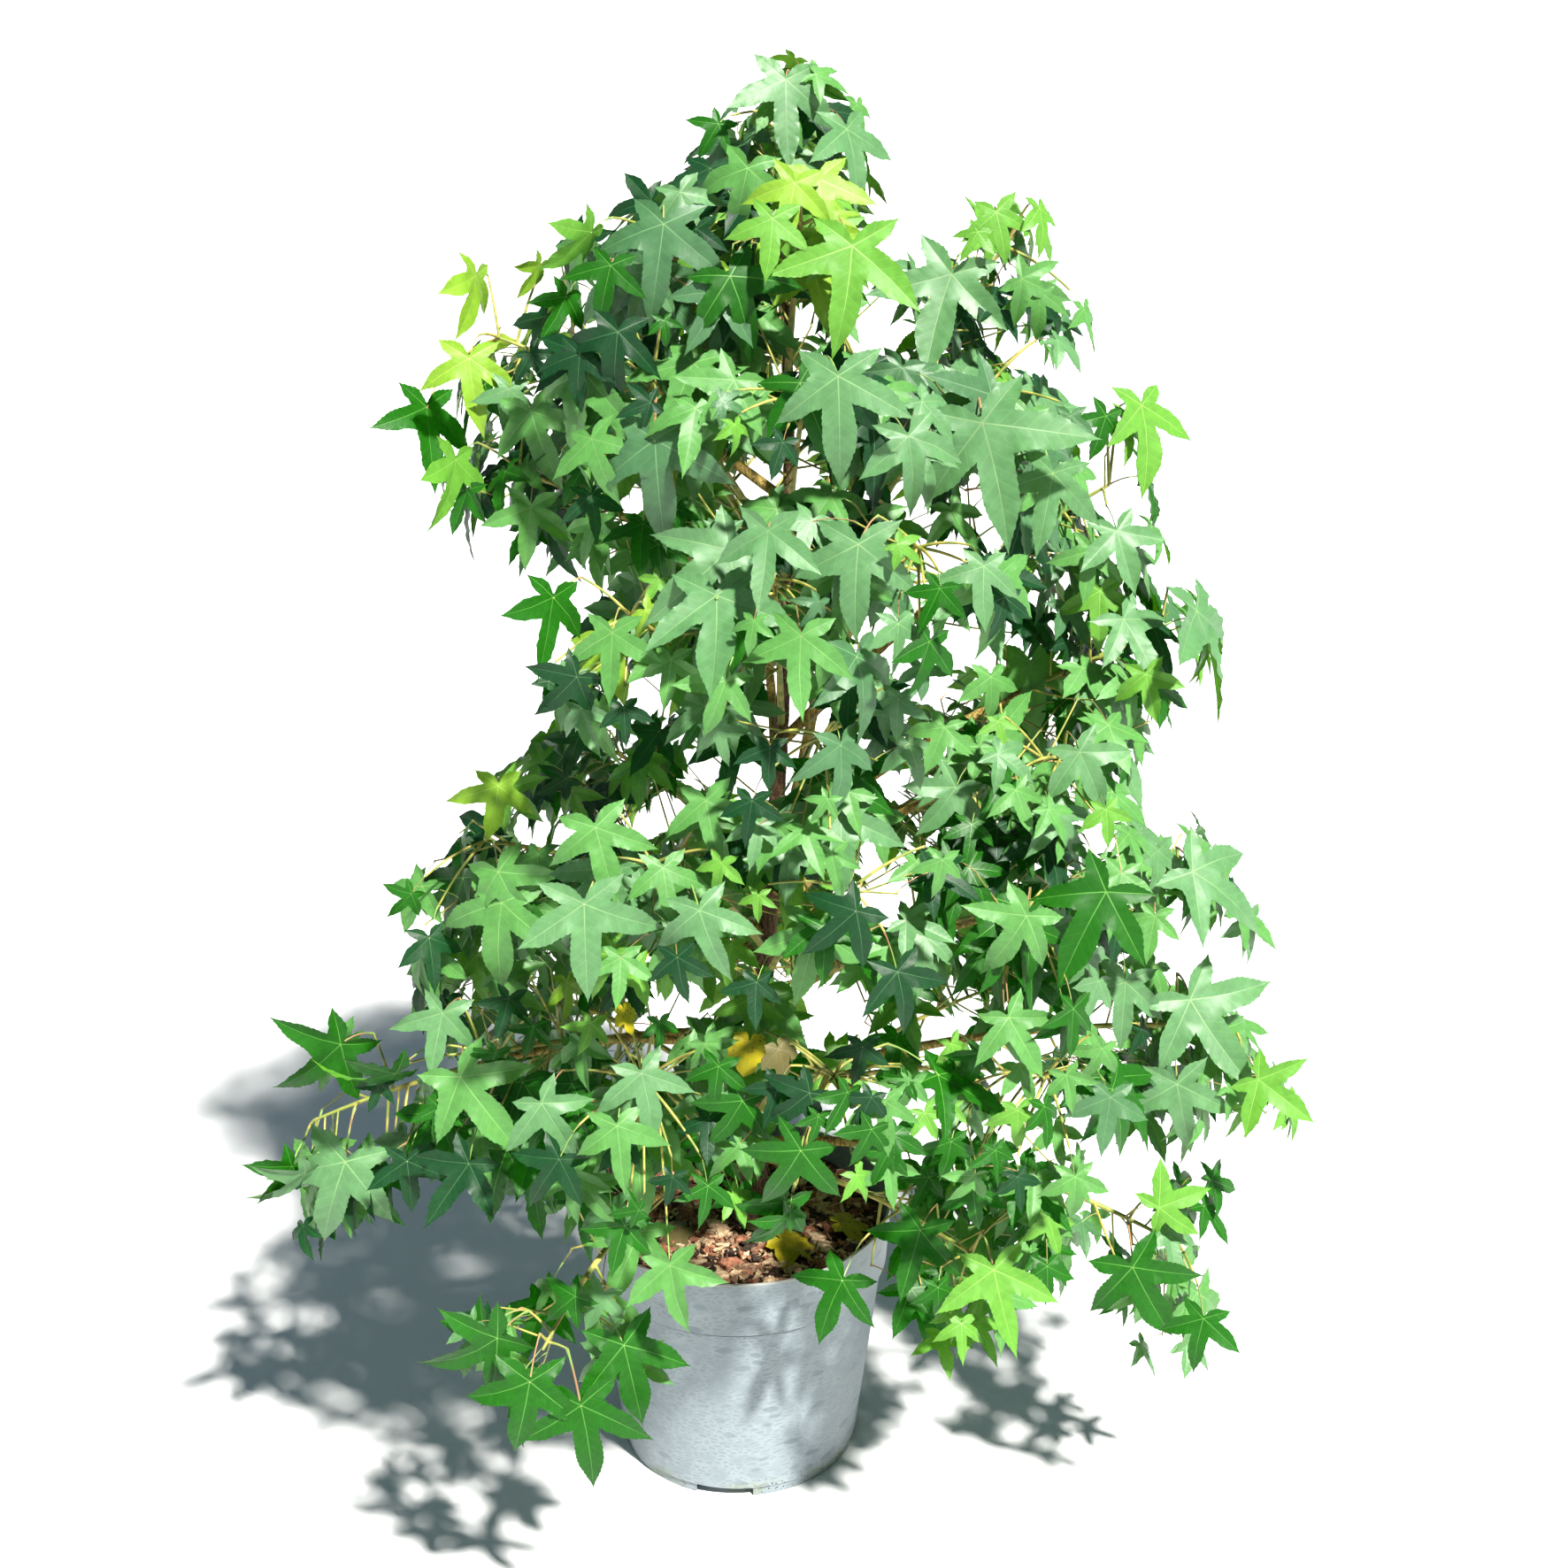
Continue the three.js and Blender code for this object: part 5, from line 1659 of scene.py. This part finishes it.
def leaves_piece(tint, number, heap, nodes):
    """One mesh of leaves, which takes the place of the masses that bear them."""
    piece = heap.piece(f"leaves_{tint}_{number}", leaf_finishes[tint], 70)
    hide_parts(*sorted(nodes))


total = 0
for tint in TINTS:
    heap, nodes, number = Heap(), set(), 1
    for name, leaf_tint, leaf in grown:
        if leaf_tint != tint:
            continue
        fitting = small_shapes if leaf.length < SMALL else shapes
        fitting = dying_shapes if tint in DECAY else fitting
        shape = fitting[piece_random.randint(len(fitting))]
        points = bent_leaf(shape, leaf.length, piece_random)
        frame_axes = np.stack([leaf.hang, leaf.side, leaf.face])
        placed = points @ frame_axes + leaf.base
        placed += into_box(placed)
        heap.add(placed, shape.all_faces, shape.slots, shape.places)
        nodes.add("foliage_" + name)
        if heap.triangles() > MOST_TRIANGLES:
            total += heap.triangles()
            leaves_piece(tint, number, heap, nodes)
            heap, nodes, number = Heap(), set(), number + 1
    if heap.count:
        total += heap.triangles()
        leaves_piece(tint, number, heap, nodes)
for heap, name, finish in ((twigs, "twigs", SHOOT_GREEN), (stalks, "leaf_stalks", STALK_GREEN)):
    piece = heap.piece(name, [finish], 80)
    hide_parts(*["foliage_" + mass.name for mass in masses])
print("triangles of leaves:", total)

# %% [markdown]
# ## The pot
# The pot is injection-moulded in one piece: a tapered wall under a slightly wider collar, a thin rounded
# lip, and a foot ring with four notches that let water out. It is turned from a profile, with the small
# radii that such a moulding has, and the notches are cut out with a Boolean.

# %% The pot's sizes
POT = {
    "height": 0.250,
    "rim": 0.140,
    "collar_foot": 0.194,
    "collar_foot_radius": 0.1365,
    "wall_top": 0.133,
    "wall_foot": 0.1105,
    "foot": 0.109,
    "foot_height": 0.009,
    "wall": 0.003,
    "groove": 0.0026,
    "pad": 0.030,
    "floor": 0.013,
}
NOTCH = {"count": 4, "width": 0.052, "height": 0.0086, "heading": -96.5}


def pot_profile():
    """Radius and height, from the middle of the underside up the outside, over the lip and down inside."""
    foot, foot_height, wall_foot = POT["foot"], POT["foot_height"], POT["wall_foot"]
    wall_top, collar, collar_radius = POT["wall_top"], POT["collar_foot"], POT["collar_foot_radius"]
    lip = POT["wall"] / 2
    middle = POT["rim"] - lip
    points = [(0, 0), (POT["pad"], 0), (POT["pad"], foot_height), (foot - 0.006, foot_height)]
    points += [(foot - 0.003, 0.0004), (foot - 0.0026, 0), (foot - 0.0004, 0), (foot, 0.0004)]
    points += [(foot + 0.0003, foot_height - 0.0003), (foot + 0.0012, foot_height + 0.0003)]
    points += [(wall_foot + 0.0005, foot_height + 0.0010), (wall_foot + 0.0002, 0.0112)]
    points += [(wall_top - 0.0003, collar - POT["groove"]), (wall_top - 0.0014, collar - 0.0018)]
    points += [(wall_top - 0.0012, collar), (collar_radius - 0.0008, collar)]
    points.append((collar_radius, collar + 0.0008))
    for degrees in range(0, 181, 20):
        turn = math.radians(degrees)
        points.append((middle + lip * math.cos(turn), POT["height"] - lip + lip * math.sin(turn)))
    points += [(wall_top - POT["wall"], collar), (wall_foot - POT["wall"], POT["floor"]), (0, POT["floor"])]
    return points


def lathe(profile, sides):
    """A closed surface turned about +Z, from a profile that starts and ends on the axis."""
    rings = profile[1:-1]
    turns = np.arange(sides) * 2 * math.pi / sides
    points = [(0, 0, profile[0][1])]
    for radius, height in rings:
        points += [(radius * math.cos(t), radius * math.sin(t), height) for t in turns]
    points.append((0, 0, profile[-1][1]))
    last = len(points) - 1
    faces = [(0, 1 + (i + 1) % sides, 1 + i) for i in range(sides)]
    for k in range(len(rings) - 1):
        here, above = 1 + k * sides, 1 + (k + 1) * sides
        for i in range(sides):
            after = (i + 1) % sides
            faces.append((here + i, here + after, above + after, above + i))
    top = 1 + (len(rings) - 1) * sides
    faces += [(last, top + i, top + (i + 1) % sides) for i in range(sides)]
    return points, faces


# %% [markdown]
# The grey of the pot is not even. Resin and pigment have flowed into a network of paler threads with
# darker, smooth islands between them, as on hammered paint, and soil has splashed the foot, where there is
# also some green film.


# %% The pot's finish
def pot_finish():
    finish = Finish("pot_grey", (0.33, 0.385, 0.415), 0.42, Specular_IOR_Level=0.4)
    warp = finish.noise(28, 2)
    place = finish.node("VectorMath", {"operation": "ADD"}, {0: finish.stretched(1, 1, 2.2), 1: warp * 0.02})
    threads = 1 - finish.cells(120, place, "DISTANCE_TO_EDGE").between(0.0, 0.30)
    threads = threads * finish.noise(60, 3).between(0.22, 0.60)
    islands = 1 - finish.cells(34, place).between(0.20, 0.30)
    flow = finish.noise(9, 3).between(0.40, 0.62)
    islands = islands * flow
    grey = finish.mix(threads * 0.62 * (1 - islands), (0.192, 0.232, 0.258), (0.285, 0.328, 0.352))
    grey = finish.mix(islands * 0.85, grey, (0.150, 0.184, 0.208))
    height = finish.height()
    low = 1 - height.between(0.004, 0.022)
    film = low * finish.noise(16, 4).between(0.42, 0.54) * finish.noise(420, 2).between(0.40, 0.56)
    grey = finish.mix(film * 0.8, grey, (0.20, 0.225, 0.115))
    specks = 1 - finish.cells(260).between(0.18, 0.30)
    foot = 1 - height.between(0.004, 0.030)
    specks = specks * finish.noise(24, 3).between(0.44, 0.54) * foot
    grey = finish.mix(specks, grey, (0.055, 0.045, 0.035))
    # painted shade: a dark band on the wall just under the collar's edge, where the collar's shadow falls
    groove = height.between(0.1908, 0.1916) * (1 - height.between(0.1938, 0.1944))
    grey = finish.mix(groove * 0.85, grey, (0.035, 0.038, 0.040))
    lip = height.between(0.2478, 0.2488)
    grey = finish.mix(lip * 0.7, grey, (0.42, 0.40, 0.37))
    finish.set("Base Color", grey)
    finish.set("Roughness", 0.40 + threads * 0.10 + film * 0.3)
    finish.bump(threads * 0.4 - islands * 0.5 + finish.noise(900, 2) * 0.15, 0.0006, 0.7)
    return finish


# %% The pot's mesh
def notch_cutter(heading):
    cutter = bmesh.new()
    bmesh.ops.create_cube(cutter, size=1)
    bmesh.ops.scale(cutter, vec=(0.030, NOTCH["width"], 2 * NOTCH["height"]), verts=cutter.verts)
    bmesh.ops.bevel(cutter, geom=cutter.edges[:], offset=0.0008, segments=2, affect="EDGES")
    bmesh.ops.translate(cutter, vec=(POT["foot"], 0, 0), verts=cutter.verts)
    mesh = bpy.data.meshes.new("notch")
    cutter.to_mesh(mesh)
    cutter.free()
    tool = bpy.data.objects.new("notch", mesh)
    tool.rotation_euler.z = math.radians(heading)
    bpy.context.scene.collection.objects.link(tool)
    return tool


def make_pot():
    mesh = bpy.data.meshes.new("nursery_pot")
    points, faces = lathe(pot_profile(), 144)
    mesh.from_pydata(points, [], faces)
    pot = bpy.data.objects.new("nursery_pot", mesh)
    bpy.context.scene.collection.objects.link(pot)
    tools = [notch_cutter(NOTCH["heading"] + 360 * i / NOTCH["count"]) for i in range(NOTCH["count"])]
    for tool in tools:
        cut = pot.modifiers.new("cut", "BOOLEAN")
        cut.operation = "DIFFERENCE"
        cut.object = tool
        cut.solver = "EXACT"
    bpy.context.view_layer.update()
    graph = bpy.context.evaluated_depsgraph_get()
    solid = bpy.data.meshes.new_from_object(pot.evaluated_get(graph))
    pot.modifiers.clear()
    pot.data = solid
    for tool in tools:
        bpy.data.objects.remove(tool)
    solid.name = "nursery_pot"
    solid.shade_smooth()
    solid.set_sharp_from_angle(angle=math.radians(38))
    solid.materials.clear()
    solid.materials.append(pot_finish().material)
    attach(pot, BODY)
    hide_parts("pot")
    return pot


pot = make_pot()
print("pot:", len(pot.data.polygons), "faces")

# %% [markdown]
# ## The mulch
# Coarse bark mulch is a loose layer of flat chips, red-brown, tan and nearly black, from crumbs to pieces
# as long as a finger joint. Each chip is a flat block with a crooked outline, tilted at random, and the
# chips lie over a dark, uneven bed that fills the pot.

# %% The bed under the chips
def bed_height(radius):
    edge = MULCH["level"] - MULCH["crown"]
    rise = np.clip((INSIDE - radius) / (INSIDE - MULCH["seat"]), 0, 1)
    return edge + MULCH["crown"] * rise


def inside_radius(height):
    """Radius of the pot's inside, above the foot of the collar."""
    share = (height - POT["collar_foot"]) / (POT["height"] - POT["collar_foot"])
    low_radius = POT["wall_top"] - POT["wall"]
    return low_radius + (POT["rim"] - POT["wall"] - low_radius) * share


INSIDE = inside_radius(MULCH["level"] - MULCH["crown"]) - 0.001
BED_WAVES = ((0.0016, 60), (0.0012, 190))  # how high and how fine the bed's unevenness is
UNDER_CHIPS = 0.002


def mulch_finish(name, dark, light):
    finish = Finish(name, dark, 0.9, Specular_IOR_Level=0.2)
    grain = finish.noise(260, 5).between(0.32, 0.68)
    finish.set("Base Color", finish.mix(grain, dark, light))
    finish.bump(grain + finish.noise(900, 3) * 0.5, 0.0010)
    return finish


def make_bed():
    rings, sides = 46, 120
    heap = Heap()
    radii = np.linspace(0.0005, INSIDE, rings)
    turns = np.arange(sides) * 2 * math.pi / sides
    points = []
    for radius in radii:
        for turn in turns:
            spot = Vector((radius * math.cos(turn), radius * math.sin(turn), 0))
            height = bed_height(radius)
            for size, fineness in BED_WAVES:
                height += size * noise.noise(spot * fineness)
            points.append((spot.x, spot.y, height - UNDER_CHIPS))
    foot = POT["floor"] + 0.0003
    foot_radius = POT["wall_foot"] - POT["wall"] - MULCH["gap"]
    collar_radius = inside_radius(POT["collar_foot"]) - MULCH["gap"]
    for radius, height in ((collar_radius, POT["collar_foot"]), (foot_radius, foot)):
        points += [(radius * math.cos(turn), radius * math.sin(turn), height) for turn in turns]
    points += [(0, 0, bed_height(0)), (0, 0, foot)]
    faces = tube_faces(rings + 2, sides)
    heap.add(np.array(points), faces)
    finish = mulch_finish("mulch_dark", (0.030, 0.018, 0.012), (0.10, 0.055, 0.035))
    return heap.piece("mulch_bed", [finish], 60)


bed = make_bed()
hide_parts("mulch")

# %% The chips
CHIPS = 2500
CHIP_TONES = {  # the dark and the light of its grain, and how common it is
    "red": ((0.20, 0.075, 0.045), (0.42, 0.19, 0.11), 0.32),
    "brown": ((0.13, 0.070, 0.042), (0.30, 0.18, 0.11), 0.22),
    "tan": ((0.42, 0.27, 0.15), (0.74, 0.55, 0.36), 0.33),
    "black": ((0.020, 0.014, 0.011), (0.075, 0.048, 0.034), 0.13),
}
CHIP = {"shortest": 0.005, "longer": 0.020, "few_long": 2.5, "off_trunk": 0.020, "tilt": 0.30, "rise": 0.0035}


def chip(random, length):
    """A flat crooked block."""
    corners = random.randint(5, 8)
    even = np.arange(corners) * 2 * math.pi / corners
    turns = np.sort(random.uniform(0, 2 * math.pi, corners) * 0.4 + even * 0.9)
    width = length * random.uniform(0.3, 0.7)
    outline = np.stack([np.cos(turns) * length, np.sin(turns) * width], 1) / 2
    outline *= random.uniform(0.75, 1.15, (corners, 1))
    thick = length * random.uniform(0.10, 0.24)
    bow = random.uniform(-0.12, 0.12) * length
    rings = []
    for scale, height in ((0.94, -0.5), (1.0, 0.2), (0.84, 0.5)):
        ring = outline * scale
        rise = height * thick + bow * (ring[:, 0] / length) ** 2 * 4
        rise = rise + random.uniform(-0.08, 0.08, corners) * thick
        rings.append(np.column_stack([ring, rise]))
    centre_low = rings[0].mean(0)
    centre_high = rings[-1].mean(0)
    return np.concatenate([*rings, [centre_low], [centre_high]]), tube_faces(3, corners)


def turned_matrix(random, tilt):
    """A random turn about the upright with a lean."""
    spin, lean, way = random.uniform(0, 2 * math.pi), random.normal(0, tilt), random.uniform(0, 2 * math.pi)
    upright = np.array([math.sin(lean) * math.cos(way), math.sin(lean) * math.sin(way), math.cos(lean)])
    first = unit(np.cross((math.sin(spin), -math.cos(spin), 0.001), upright))
    return np.stack([first, np.cross(upright, first), upright])


def make_chips():
    random = np.random.RandomState(3)
    tones = list(CHIP_TONES)
    chances = np.array([CHIP_TONES[tone][2] for tone in tones])
    heap = Heap()
    trunk_x = TRUNK_CURVE.points[0][0]
    while len(heap.faces) < CHIPS:
        length = CHIP["shortest"] + CHIP["longer"] * random.uniform() ** CHIP["few_long"]
        radius = (INSIDE - 0.55 * length) * math.sqrt(random.uniform())
        turn = random.uniform(0, 2 * math.pi)
        x, y = radius * math.cos(turn), radius * math.sin(turn)
        if math.hypot(x - trunk_x, y) < CHIP["off_trunk"] + length / 2:
            continue
        points, faces = chip(random, length)
        points = points @ turned_matrix(random, CHIP["tilt"])
        rise = bed_height(radius) + random.uniform(-CHIP["rise"], CHIP["rise"])
        tone = random.choice(len(tones), p=chances / chances.sum())
        heap.add(points + (x, y, rise), faces, np.full(len(faces), tone, np.int32))
    finishes = [mulch_finish("mulch_" + tone, *CHIP_TONES[tone][:2]) for tone in tones]
    return heap.piece("mulch_chips", finishes, 40)


chips = make_chips()
